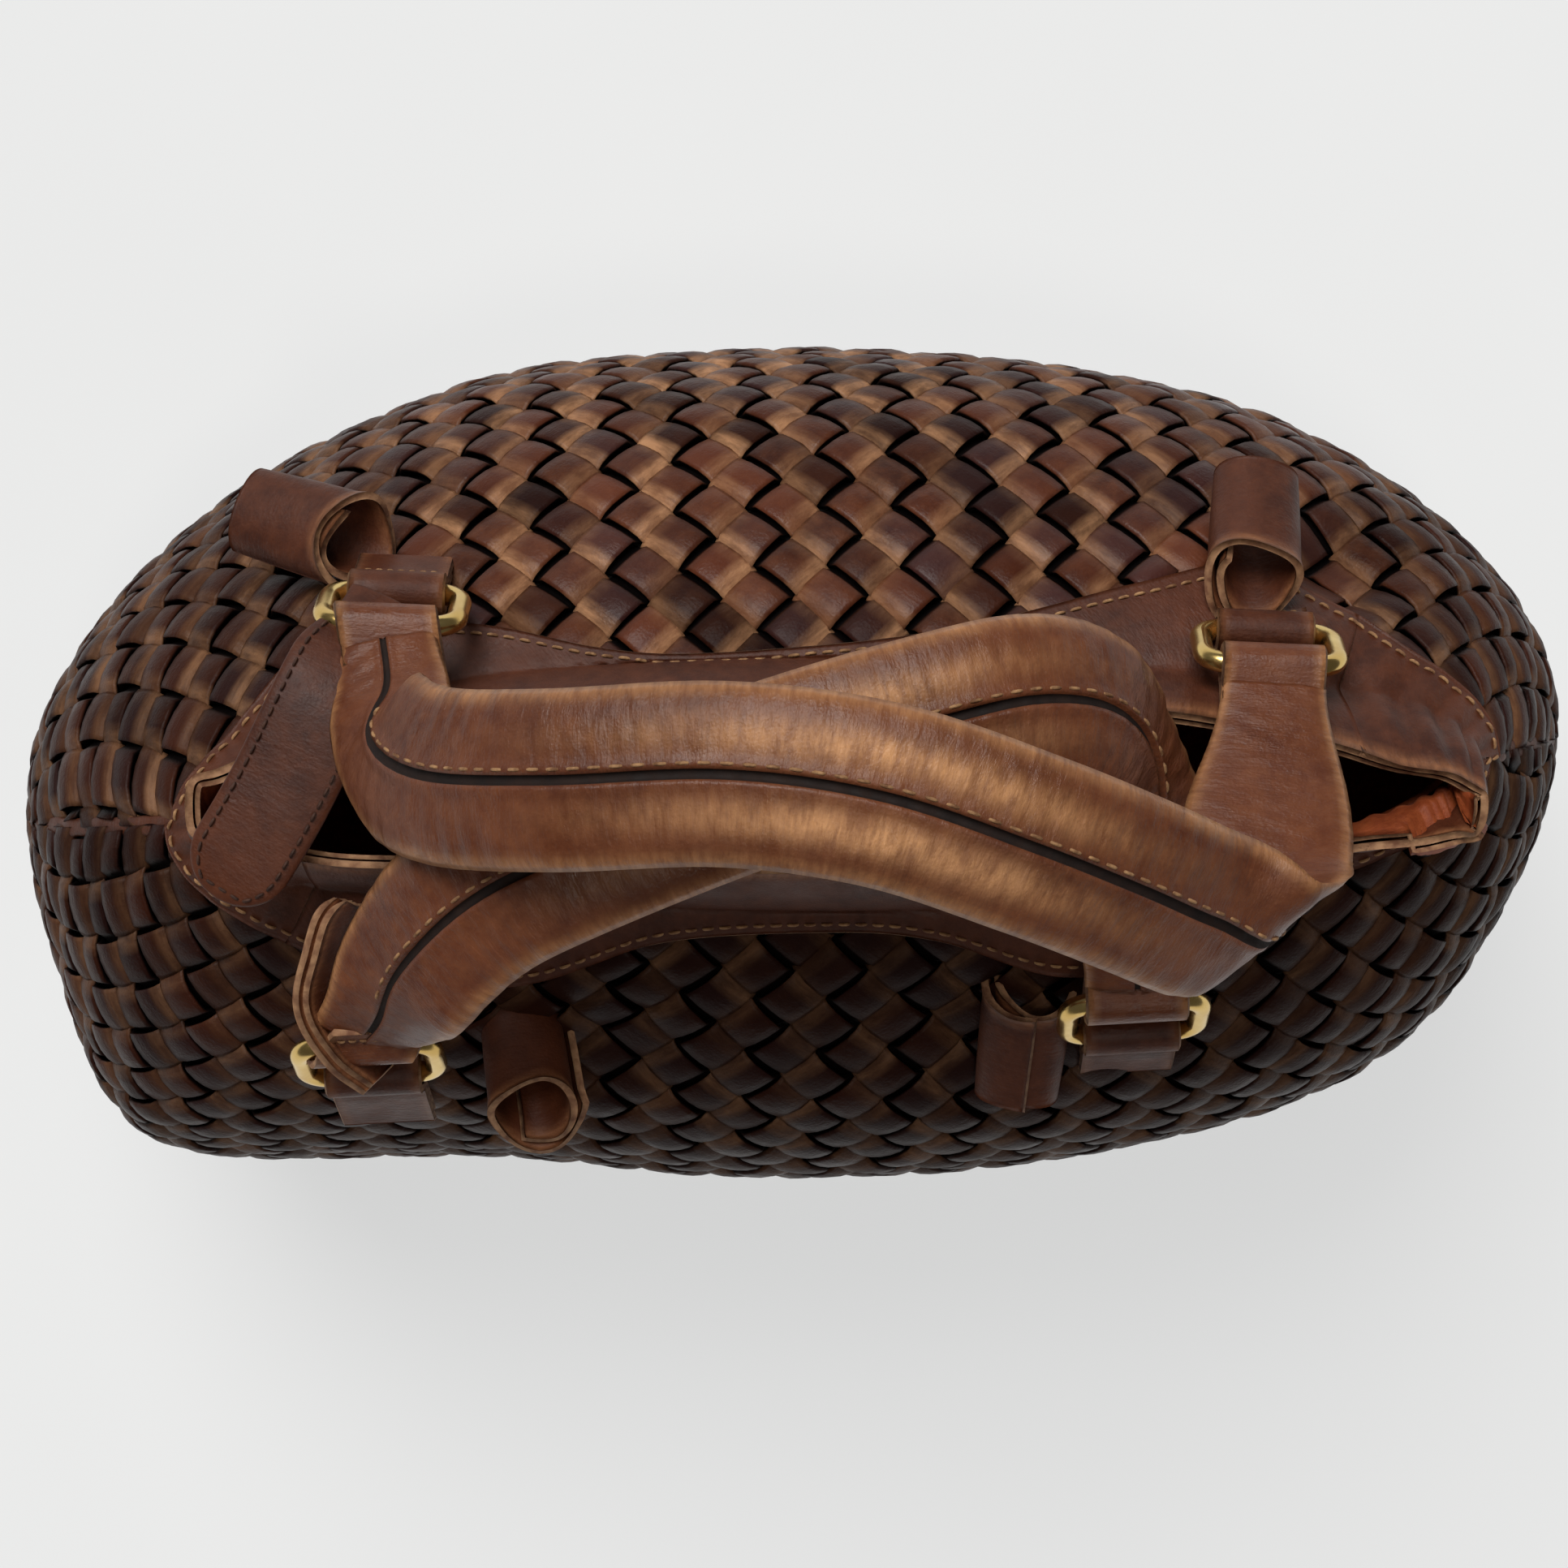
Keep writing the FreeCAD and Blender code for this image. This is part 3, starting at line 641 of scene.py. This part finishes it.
def weave(side, seed, *nodes):
    """Two crossing sets of crowned strips, over one and under one, on the bias of a panel."""
    draw = np.random.default_rng(seed)
    cells = (2 * REACH + 1, 2 * REACH + 1, 2)
    tints = draw.random(cells)
    shades = draw.random(cells)
    first, second = (strip_set(side, family, tints, shades) for family in range(2))
    quads = np.vstack([first.pop("quads"), second.pop("quads") + len(first["points"])])
    used, quads = np.unique(quads, return_inverse=True)
    values = {key: np.concatenate([first[key], second[key]])[used] for key in first}
    points = values.pop("points")
    # painted shade: the front panel darker, most towards its right, the back panel darker towards its far
    # edge, and both ends darker; it joins each cell's random tone in the shade attribute
    if side == "front":
        painted_shade = 0.84 + 0.16 * smoothstep(points[:, 0], -0.13, 0.0)
    else:
        painted_shade = 0.45 * smoothstep(points[:, 1], 0.055, 0.095)
    painted_shade = np.maximum(painted_shade, 0.80 * smoothstep(np.abs(points[:, 0] - 0.02), 0.06, 0.16))
    values["shade"] = painted_shade + (1 - painted_shade) * values["shade"]
    piece(f"weave_{side}", points, quads.reshape(-1, 4), "woven_leather", nodes, materials=(WOVEN,), **values)


def ring_grid():
    """The whole shell as one closed ring of columns, from the rim down to the base."""
    back, front = PANELS["back"], PANELS["front"]
    grid = np.concatenate([back.grid, front.grid[:, ::-1][:, 1:-1]], axis=1)
    normals = np.concatenate([back.normals, front.normals[:, ::-1][:, 1:-1]], axis=1)
    return grid[::3, ::3], normals[::3, ::3]


def liner():
    """A near-black sheet behind the weave, painted shade seen through the gaps between strips, and the orange
    lining inside it, as one closed double wall.
    """
    grid, normals = ring_grid()
    rows, columns, _ = grid.shape
    folds = MM * np.sin(np.arange(columns) * 0.55)[None, :, None]
    shape = np.sin(np.linspace(0, 3, rows))[:, None, None]
    outer = grid - normals * 3.9 * MM
    inner = grid - normals * (6.0 * MM + folds * shape)
    points = []
    for wall, floor in ((outer, 4.5 * MM), (inner, 7.5 * MM)):
        wall = wall.copy()
        wall[..., 2] = np.maximum(wall[..., 2], floor)
        middle = wall[-1].mean(axis=0)
        caps = [middle + (wall[-1] - middle) * share for share in (0.8, 0.5, 0.2, 0.02)]
        points.append(np.concatenate([wall, np.stack(caps)]))
    count = points[0].shape[0] * columns
    outside = grid_quads(points[0].shape[0], columns, wrap_columns=True)
    inside = outside[:, ::-1] + count
    column = np.arange(columns)
    following = np.roll(column, -1)
    rim = np.stack([column, column + count, following + count, following], axis=1)
    quads = np.vstack([outside, inside, rim])
    flow = np.concatenate([flow_of(part) for part in points])
    points = np.concatenate([part.reshape(-1, 3) for part in points])
    piece("lining_and_shade_backing", points, quads, "lining_leather", ("lining",), materials=(SHADE_BACKING, LINING),
          faces=np.arange(len(quads)) >= len(outside), flow=flow)


# -------- the rim band
BAND_COLUMNS = 241  # along the mouth's edge on each side
# the columns that each length of band covers; neighbours overlap a little
LEFT_LENGTH, MIDDLE_LENGTH, RIGHT_LENGTH = slice(0, 52), slice(50, 190), slice(188, BAND_COLUMNS)


def edge_point(angle):
    """The mouth's edge, blunt at both ends, where its middle sways to the front."""
    cosine, sine = np.cos(angle), np.sin(angle)
    power = 2 / (2.1 + 0.6 * np.abs(cosine) ** 3)
    along = signed_power(cosine, power)
    side = signed_power(sine, power)
    depth = EDGE_HALF_DEPTH * (1 - 0.22 * smoothstep(along, 0.5, 0.9))
    x = RIM_MIDDLE[0] + EDGE_HALF_LENGTH * along
    y = RIM_MIDDLE[1] - 6 * MM * along**2 + depth * side
    ripple = 1.2 * np.sin(9 * angle) + 0.8 * np.sin(17 * angle + 1)
    z = EDGE_HEIGHT - 2 * MM + ripple * MM * smoothstep(np.abs(along), 0.6, 0.9)
    return np.stack([x, y + ripple * 0.8 * MM * np.abs(along) ** 4, z], axis=-1)


def band_sections(side):
    """One side's columns: from the foot over the rim up to the edge, and from the edge down to the rim."""
    panel = PANELS[side]
    columns = np.linspace(0, COLUMNS - 1, BAND_COLUMNS)
    edge = edge_point(np.linspace(math.pi, 0 if side == "back" else 2 * math.pi, BAND_COLUMNS))
    rim, _ = panel.surface(np.zeros(BAND_COLUMNS), columns, 0)
    foot = band_foot(side, rim[:, 0])
    foot_rows = np.array([np.interp(foot[k], panel.v[:, int(columns[k])], np.arange(ROWS))
                          for k in range(BAND_COLUMNS)])
    lines = [panel.surface(foot_rows * share, columns, 0.9 * MM)[0] for share in np.linspace(1, 0, 9)]
    lines.append((lines[-1] * 0.62 + edge * 0.38) + np.array([0, 0, 2.5 * MM]))
    lines.append((lines[-2] * 0.25 + edge * 0.75) + np.array([0, 0, 1.5 * MM]))
    lines.append(edge)
    sections = np.stack(lines, axis=1)
    outside = np.stack([smooth_curve(section, 26) for section in sections])
    throat = np.stack([smooth_curve(section[:7:-1], 15) for section in sections])
    return outside, throat


def band_lengths(back, front):
    """The band's four lengths, each as a grid of columns from foot to edge."""
    return {
        "left": np.concatenate([front[LEFT_LENGTH][::-1], back[LEFT_LENGTH][1:]]),
        "right": np.concatenate([back[RIGHT_LENGTH], front[RIGHT_LENGTH][::-1][1:]]),
        "back": back[MIDDLE_LENGTH],
        "front": front[MIDDLE_LENGTH][::-1],
    }


def rim_band():
    """The four lengths of band, their stitched feet and the lining layer inside the mouth."""
    (back, back_throat), (front, front_throat) = band_sections("back"), band_sections("front")
    for name, grid in band_lengths(back, front).items():
        height = np.linspace(0, 1, grid.shape[1])[None, :]
        if name in ("left", "right"):
            folds = 0.8 * np.sin(np.arange(len(grid))[:, None] * 0.55) * np.sin(math.pi * height)
            grid = grid + grid_normals(grid) * (folds * MM)[..., None]
        thick_sheet(f"rim_band_{name}_leather", grid, LEATHER, (SMOOTH, RAW_EDGE), "smooth_leather",
                    (f"rim_band_{name}",), wear_and_highlight=smoothstep(height, 0.88, 1.0))
        normals = grid_normals(grid, middle=np.array([0, 0, 0.15]))[:, 2]
        line = grid[:, 2] + normals * (LEATHER / 2 + 0.2 * MM)
        stitches(f"rim_stitches_{name}", line, normals, RIM_STITCH, THREAD, "smooth_leather")
    mouth_lining(np.concatenate([back_throat, front_throat[::-1][1:-1]]))


def mouth_lining(walls):
    """The orange layer that lines the band from its edge down to the rim, loose at the right end."""
    heart = np.stack([np.clip(walls[..., 0], -0.10, 0.12), np.full(walls.shape[:2], RIM_MIDDLE[1] - 3 * MM),
                      np.full(walls.shape[:2], RIM_HEIGHT - 40 * MM)], axis=-1)
    normals = -grid_normals(walls, wrap_rows=True, middle=heart)
    depth = np.linspace(0, 1, walls.shape[1])[None, :]
    around = np.arange(len(walls))[:, None]
    right_end = smoothstep(walls[..., 0], 0.100, 0.135)
    loose = 3.5 * right_end * (walls[..., 1] < RIM_MIDDLE[1]) * np.sin(depth * math.pi) ** 0.7
    crumple = 0.5 * np.sin(around * 0.9 + 5 * depth) * (0.4 + right_end) * depth
    offset = LEATHER / 2 + (1.1 + loose + crumple) * MM
    thick_sheet("mouth_lining", walls + normals * offset[..., None], 1.2 * MM, (LINING, RAW_EDGE),
                "lining_leather", wrap_rows=True)


# -------- rolled tubes, tabs and loops
# the rolls' open ends: (direction they face, how steeply they stand up, how far they are raised)
TUBE_ENDS = {
    "back_left": ((1.0, 0.35, 0.0), 0.42, 0.0),
    "back_right": ((0.0, -1.0, 0.0), 0.58, 9.5 * MM),
    "front_left": ((0.1, -1.0, 0.0), 0.42, 0.0),
    "front_right": ((0.0, 1.0, 0.0), 0.42, 0.0),
}


def rolled_tube(name, start_turn):
    """A roll of leather whose outer end laps over itself, open at its ends."""
    opening, steepness, raised = TUBE_ENDS[name]
    node = f"pleat_tube_{name}"
    points = np.array([vertex.co for vertex in frame["nodes"][node].data.vertices])
    axis = np.linalg.svd(points - points.mean(axis=0), full_matrices=False)[2][0]
    axis = axis * (1 if axis @ np.array(opening) > 0 else -1)
    axis = unit(axis * (1 - UP) + UP * steepness)
    middle = sum(corners_of(node)) / 2 + UP * raised
    side = unit(np.cross(UP, axis))
    up = unit(np.cross(axis, side))
    along = np.linspace(-16, 15, 30)[:, None] * MM
    turn = np.linspace(0, 2 * math.pi * 1.32, 90)[None, :]
    angle = turn + start_turn
    radius = (7.0 * MM + 3.4 * MM * turn / turn.max()) * (1 + 0.05 * np.sin(angle * 3 + 0.7))
    flare = (1 + 0.10 * np.sin(np.linspace(0, 1.6, 30))[:, None]
             + 0.12 * smoothstep(along, 10 * MM, 19 * MM))
    squash = 0.84
    ragged = 1.2 * MM * np.sin(turn * 2.3 + start_turn) - 6.0 * MM * np.sin(angle) * squash
    forward = along + ragged * smoothstep(along, -4 * MM, 15 * MM)
    grid = (middle + axis * forward[..., None] + side * (np.cos(angle) * radius * flare)[..., None]
            + up * (np.sin(angle) * radius * squash * flare)[..., None])
    thick_sheet(f"rolled_tube_{name}", grid, LEATHER, (SMOOTH, RAW_EDGE), "smooth_leather",
                (node,), wear_and_highlight=smoothstep(along, 11 * MM, 15 * MM) * 0.8)


def strap_profile(count=40, crown=1.0):
    """A flat strap's section with rounded sides and a crowned top, as shares of width and depth."""
    angle = np.linspace(0, 2 * math.pi, count, endpoint=False)
    across = 0.5 * signed_power(np.cos(angle), 0.75)
    up = 0.5 * signed_power(np.sin(angle), 0.8)
    up = np.where(up > 0, up * crown, up * 0.6)
    return np.stack([across, up], axis=1)


def loop(name, centre, axis, towards, length, width, material, slot, nodes, body="bag"):
    """Leather folded round a ring's bar: two plies that run towards a direction."""
    side = unit(np.cross(axis, towards))
    gap = 1.1 * LEATHER
    turn = np.linspace(-0.62 * math.pi, 0.62 * math.pi, 25)
    radius = 4.2 * MM
    bend = np.stack([-np.cos(turn) * radius, np.sin(turn) * radius], axis=1)
    run = np.linspace(6.5 * MM, length, 14)
    first = np.stack([run[::-1], np.full(14, -gap / 2)], axis=1)
    second = first[::-1] * np.array([1, -1])
    path = smooth_curve(np.vstack([first[::3], bend[::4], second[::3]]), 90)
    line = centre + path[:, :1] * towards + path[:, 1:] * side
    across = np.linspace(-0.5, 0.5, 15)
    grid = line[:, None] + axis * (across[None, :, None] * width)
    thick_sheet(name, grid, LEATHER, (material, RAW_EDGE), slot, nodes, body,
                wear_and_highlight=0.6 * smoothstep(np.abs(across), 0.38, 0.5))
    cross = centre + towards * 8.5 * MM + side * (gap / 2 + LEATHER / 2 + 0.1 * MM)
    seam = cross + axis * (np.linspace(-0.42, 0.42, 12)[:, None] * width)
    stitches(f"{name}_stitches", seam, np.tile(side, (12, 1)), LOOP_STITCH, THREAD, slot, body)


def axis_of(name):
    """A handle's hinge direction, turned to run from its left ring to its right one."""
    axis = np.array(joints[f"handle_{name}_swing"]["axis"], float)
    return axis * np.sign(axis[0])


def seat_of(name, side):
    """The middle of a ring's lower bar."""
    return np.array(joints[f"ring_{name}_{side}_swing"]["pos_m"], float)


def bar_of(name, side):
    """The middle of a ring's upper bar."""
    axis = axis_of(name)
    hinge = np.array(joints[f"handle_{name}_swing"]["pos_m"], float)
    return hinge + axis * ((seat_of(name, side) - hinge) @ axis)


def tabs():
    """The loops that hold the four rings to the shell."""
    for name, outward in (("back", 1), ("front", -1)):
        axis = axis_of(name)
        away = np.array([-axis[1], axis[0], 0]) * outward
        towards = unit(away * 0.45 - UP)
        for side in ("left", "right"):
            low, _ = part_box(f"loop_tab_{name}_{side}")
            centre = seat_of(name, side)
            length = min((centre[2] - low[2]) / 0.9, 30 * MM)
            loop(f"ring_tab_{name}_{side}", centre, axis, towards, max(length, 14 * MM), 22 * MM,
                 SMOOTH, "smooth_leather", (f"loop_tab_{name}_{side}",))


# -------- handles
STATIONS = 420  # along a handle
END_WIDTH, FULL_WIDTH = 24, 39  # of a handle, in mm
END_DEPTH, FULL_DEPTH = 5.0, 9.5
GROOVE_SHARE = 0.03  # half the seam's width as a share of the strap's
# A handle's middle line: (share of the way from its left ring to its right one, towards the mouth,
# up, both in mm from the rings' upper bars), then its outer face's direction in the same three axes.
HANDLE_PATHS = {
    "back": (
        (0.000, 4.5, 4.5, -0.10, -0.45, 1),
        (0.014, 16, 12, -0.20, -0.35, 1),
        (0.018, 27, 25, -0.80, -0.10, 0.70),
        (0.080, 34, 45, -0.60, 0, 0.85),
        (0.210, 34, 67, -0.20, 0, 1),
        (0.394, 31, 78, 0, 0, 1),
        (0.559, 34, 80, 0, 0.05, 1),
        (0.715, 43, 74, 0.05, 0.10, 1),
        (0.831, 51, 61, 0.15, 0.15, 1),
        (0.913, 57, 47, 0.25, 0.25, 1),
        (0.978, 59, 36, 0.70, 0.72, 0.05),
        (0.985, 45, 26, 0.05, 0.05, -1),
        (0.996, 25, 14, 0, 0.25, -1),
        (1.000, 5, 4, 0, 0.40, -1),
    ),
    "front": (
        (0.002, 3, 5, 0, -0.75, 0.65),
        (0.036, 8, 15, -0.30, -0.60, 0.75),
        (0.080, 18, 28, -0.65, -0.25, 0.75),
        (0.165, 32, 43, -0.30, -0.10, 1),
        (0.283, 42, 53, -0.10, -0.05, 1),
        (0.529, 57, 59, 0, 0, 1),
        (0.760, 67, 57, 0, 0, 1),
        (0.880, 70, 50, 0.15, 0.10, 1),
        (0.965, 66, 40, 0.45, 0.25, 0.90),
        (1.005, 55, 29, 0.80, 0.10, 0.60),
        (1.012, 35, 17, 0.50, -0.20, 0.85),
        (1.002, 14, 9, 0.10, -0.45, 0.95),
        (1.000, 4, 4, 0, -0.45, 1),
    ),
}


def handle_line(name):
    """Centres, directions across and directions up of a strap, from its left ring to its right."""
    axis = axis_of(name)
    inward = np.array([axis[1], -axis[0], 0]) * (1 if name == "back" else -1)
    left, right = bar_of(name, "left"), bar_of(name, "right")
    path = np.array(HANDLE_PATHS[name], float)
    points = (left + (right - left) * path[:, :1] + inward * path[:, 1:2] * MM + UP * path[:, 2:3] * MM)
    faces = axis * path[:, 3:4] + inward * path[:, 4:5] + UP * path[:, 5:6]
    curve = smooth_curve(np.hstack([points, unit(faces)]), STATIONS)
    for _ in range(14):
        curve[1:-1] = 0.5 * curve[1:-1] + 0.25 * (curve[:-2] + curve[2:])
    line = curve[:, :3]
    along = unit(np.gradient(line, axis=0))
    across = unit(np.cross(curve[:, 3:], along))
    return line, across, unit(np.cross(along, across))


def grooved_profile(groove):
    """A padded strap's section: two soft lobes that meet at a sunk seam on the outer face."""
    top = np.concatenate([np.linspace(-0.5, -groove, 16), [-groove * 0.9, 0.0, groove * 0.9],
                          np.linspace(groove, 0.5, 16)])
    inner = np.abs(top) <= groove * 0.95
    rounded = (1 - np.abs(2 * top) ** 2.6) ** 0.62 * 0.5
    lip = 0.07 * bump(np.abs(top), groove * 1.6, groove * 1.2)
    up = np.where(inner, 0.5 * 0.80, rounded + lip - 0.02)
    bottom = np.linspace(0.46, -0.46, 17)
    down = -0.32 * (1 - np.abs(2 * bottom) ** 3) ** 0.6 - 0.02
    points = np.concatenate([np.stack([top, up], axis=1), np.stack([bottom, down], axis=1)])
    slots = np.zeros(len(points), int)
    slots[15:18] = 1
    return points[::-1], slots[::-1]


def strap_ripple(name, share, profile):
    """Small waves in a strap's skin, with deeper creases where it bends."""
    draw = np.random.default_rng(5 if name == "back" else 6)
    ripple = np.zeros((len(share), len(profile)))
    for k in range(6):
        phase = np.cumsum(draw.uniform(0.5, 1.3, len(share)))
        ripple += 0.05 * MM * np.sin(phase)[:, None] * np.cos(profile[None, :, 0] * (2 + k) * 3 + k)
    bends = bump(share, 0.2, 0.08) + bump(share, 0.8, 0.08)
    ripple += (bends[:, None] * 0.35 * MM * np.sin(share * 260 + 2 * np.sin(share * 61))[:, None]
               * smoothstep(np.abs(profile[None, :, 0]), 0.15, 0.5))
    return ripple


def strap_wear_and_highlight(share, profile):
    """Paler marks on a strap: scuffing on its two sides, and on its crests at mid length scuffing with a
    painted highlight.
    """
    edges = 0.55 * smoothstep(np.abs(profile[:, 0]), 0.38, 0.5)
    crest = bump(np.abs(profile[:, 0]), 0.22, 0.10) * (profile[:, 1] > 0)
    rubbed_and_highlit = 0.95 * bump(share, 0.5, 0.14)[:, None] * crest[None, :]
    return np.clip(edges[None, :] + rubbed_and_highlit, 0, 1)


def handle(name):
    """A padded strap with its seam, stitches and end loops."""
    body = f"handle_{name}"
    line, across, up = handle_line(name)
    share = np.linspace(0, 1, STATIONS)
    full = smoothstep(share, 0.0, 0.13) * smoothstep(share, 1.0, 0.88 if name == "back" else 0.86)
    widths = (END_WIDTH + (FULL_WIDTH - END_WIDTH) * full) * MM
    folded = bump(share, 0.845, 0.035) if name == "back" else 0
    depths = (END_DEPTH + (FULL_DEPTH - END_DEPTH) * full - 3.0 * folded) * MM
    profile, faces = grooved_profile(GROOVE_SHARE)
    made = sweep(f"{body}_strap", line, across, up, widths, depths, profile, (STRAP, GROOVE),
                 "handle_leather", (f"{body}_wrap", f"{body}_core"), body, np.roll(faces, -1),
                 strap_ripple(name, share, profile), strap_wear_and_highlight(share, profile))
    top = line + across * (GROOVE_SHARE * 1.9 * widths)[:, None] + up * (depths * 0.53)[:, None]
    span = slice(int(STATIONS * 0.07), int(STATIONS * 0.93))
    stitches(f"{body}_stitches", top[span], up[span], STRAP_STITCH, THREAD, "handle_leather", body)
    for side, (first, second) in (("left", line[:2]), ("right", line[:-3:-1])):
        loop(f"{body}_end_{side}", bar_of(name, side), axis_of(name), unit(second - first), 13 * MM, 23 * MM,
             STRAP, "handle_leather", (f"{body}_loop_{side}",), body)


def long_tail():
    """The stitched end of the back left tab, which crosses the left end of the mouth."""
    low, high = corners_of("back_left_tail")
    start = seat_of("back", "left") + np.array([-3, -2, 9]) * MM
    tip = low + np.array([9, 2, 2]) * MM
    bend = high + np.array([-7, 4, 1]) * MM
    knee = bend * 0.5 + tip * 0.5 + np.array([1, -1, 2]) * MM
    line = smooth_curve([start, bend, knee, tip], 120)
    along = unit(np.gradient(line, axis=0))
    across = unit(np.cross(UP, along))
    up = np.cross(along, across)
    up *= np.sign(up[:, 2:])
    travelled = np.linalg.norm(np.gradient(line, axis=0), axis=1).cumsum()
    left_over = travelled[-1] - travelled
    half = 12 * MM
    nose = np.sqrt(np.clip(1 - (1 - np.clip(left_over / half, 0, 1)) ** 2, 0, 1))
    widths = (15 * MM + 9.5 * MM * smoothstep(travelled, 4 * MM, 24 * MM)) * np.maximum(nose, 0.02)
    depths = 3.4 * MM * np.maximum(nose, 0.15)
    sweep("back_left_tail_leather", line, across, up, widths, depths, strap_profile(40, 1.2), (SMOOTH,),
          "smooth_leather", ("back_left_tail",))
    inset = 2.6 * MM
    inner = np.maximum(widths / 2 - inset, 0)
    keep = left_over > inset
    right = (line + across * inner[:, None] + up * (depths * 0.6)[:, None])[keep]
    left = (line - across * inner[:, None] + up * (depths * 0.6)[:, None])[keep]
    track = np.concatenate([right[14:], left[::-1][:-14]])
    normals = np.concatenate([up[keep][14:], up[keep][::-1][:-14]])
    stitches("back_left_tail_stitches", track, normals, TAIL_STITCH, DARK_THREAD, "smooth_leather")


def upright_flap():
    """The front left tab's two-ply end, which stands on its edge beside the handle."""
    bar = seat_of("front", "left")
    path = [(2, 0, 11), (-5, 7, 18), (-10, 18, 24), (-7, 30, 29), (-3, 42, 31)]
    line = smooth_curve(bar + np.array(path) * MM, 60)
    along = unit(np.gradient(line, axis=0))
    side = unit(np.cross(along, UP))
    share = np.linspace(0, 1, 60)
    nose = np.sqrt(np.clip(1 - np.clip((share - 0.86) / 0.15, 0, 1) ** 2, 0, 1))
    height = (13 + 4 * share) * MM * np.maximum(nose, 0.15)
    rows = np.linspace(-0.5, 0.5, 14)
    for ply, shift in (("inner", -1.15), ("outer", 1.15)):
        leaning = unit(UP - side * 0.5)[:, None]
        lift = leaning * (rows[None, :, None] * height[:, None, None])
        bow = side[:, None] * (0.8 * MM * np.cos(rows * math.pi))[None, :, None]
        grid = line[:, None] + lift + bow + side[:, None] * shift * MM
        thick_sheet(f"front_left_tab_flap_{ply}", grid, 2.0 * MM, (SMOOTH, RAW_EDGE), "smooth_leather",
                    wear_and_highlight=smoothstep(rows, 0.3, 0.5))


def end_seams():
    """The gathered seam down each end, where the front and back panels meet."""
    rows = np.linspace(6, ROWS - 12, 220)
    share = np.linspace(0, 1, len(rows))
    for name, column in (("left", 0), ("right", COLUMNS - 1)):
        centre, normal = PANELS["back"].surface(rows, np.full(len(rows), float(column)), -1.5 * MM)
        along = unit(np.gradient(centre, axis=0))
        across = unit(np.cross(normal, along))
        ribs = 0.5 + 0.5 * np.sin(share * 110 + 2.5 * np.sin(share * 17)) * np.sin(share * 31)
        widths = (4.2 + 1.0 * ribs) * MM
        depths = (2.4 + 0.8 * ribs) * MM
        sweep(f"end_seam_{name}", centre, across, normal, widths, depths, strap_profile(28), (SMOOTH,),
              "woven_leather")


def rigid_finishes():
    """The finishes of the CAD nodes that are shown as they are."""
    for name, node in frame["nodes"].items():
        if name.startswith("ring_") or name == "base_panel":
            node.data.materials.clear()
            node.data.materials.append(BASE if name == "base_panel" else BRASS)


# -------- floor, light and camera
def stage_and_light():
    """A pale floor that glows a little, so shadows on it stay faint, and three soft lamps."""
    floor_mesh = bpy.data.meshes.new("floor")
    half = 30.0
    corners = [(-half, -half, 0), (half, -half, 0), (half, half, 0), (-half, half, 0)]
    floor_mesh.from_pydata(corners, [], [(0, 1, 2, 3)])
    floor = add_object("floor", floor_mesh)
    surface = plain("pale_floor", (0.21, 0.21, 0.21, 1), (0.20, 0.20, 0.20, 1), 3, 0.9, 0.0)
    shader = surface.node_tree.nodes["Principled BSDF"]
    shader.inputs["Emission Color"].default_value = (0.99, 1.0, 1.0, 1.0)
    shader.inputs["Emission Strength"].default_value = 0.61
    floor_mesh.materials.append(surface)
    world = bpy.data.worlds.new("studio")
    bpy.context.scene.world = world
    world.use_nodes = True
    background = world.node_tree.nodes["Background"]
    background.inputs["Color"].default_value = (1.0, 0.99, 0.98, 1.0)
    background.inputs["Strength"].default_value = 0.095
    lamps = (
        ("key", (-0.32, 0.76, 1.12), 36, 2.2, (1.0, 0.985, 0.96)),
        ("top", (-0.10, 0.42, 1.0), 30, 0.85, (1.0, 1.0, 1.0)),
        ("glint", (0.05, -0.30, 1.0), 9, 0.48, (1.0, 0.94, 0.86)),
    )
    for name, place, spread, strength, tint in lamps:
        lamp = bpy.data.lights.new(name, "SUN")
        lamp.angle = math.radians(spread)
        lamp.energy = strength
        lamp.color = tint
        holder = add_object(name, lamp)
        holder.location = place
        holder.rotation_euler = (-Vector(place)).to_track_quat("-Z", "Y").to_euler()


def camera():
    """A camera straight above the bag."""
    data = bpy.data.cameras.new("camera")
    data.angle = math.radians(24.26)
    data.clip_start = 0.05
    holder = add_object("camera", data)
    holder.location = (-2 * MM, -6 * MM, 1.089)
    bpy.context.scene.camera = holder


# -------- everything
weave("back", 11, "woven_back", "woven_left_end", "woven_right_end")
weave("front", 12, "woven_front")
liner()
rim_band()
for tube_number, tube_name in enumerate(TUBE_ENDS):
    rolled_tube(tube_name, 0.8 + 1.7 * tube_number)
tabs()
for handle_name in ("back", "front"):
    handle(handle_name)
long_tail()
upright_flap()
end_seams()
rigid_finishes()
stage_and_light()
camera()
bpy.context.scene.view_settings.view_transform = "Standard"
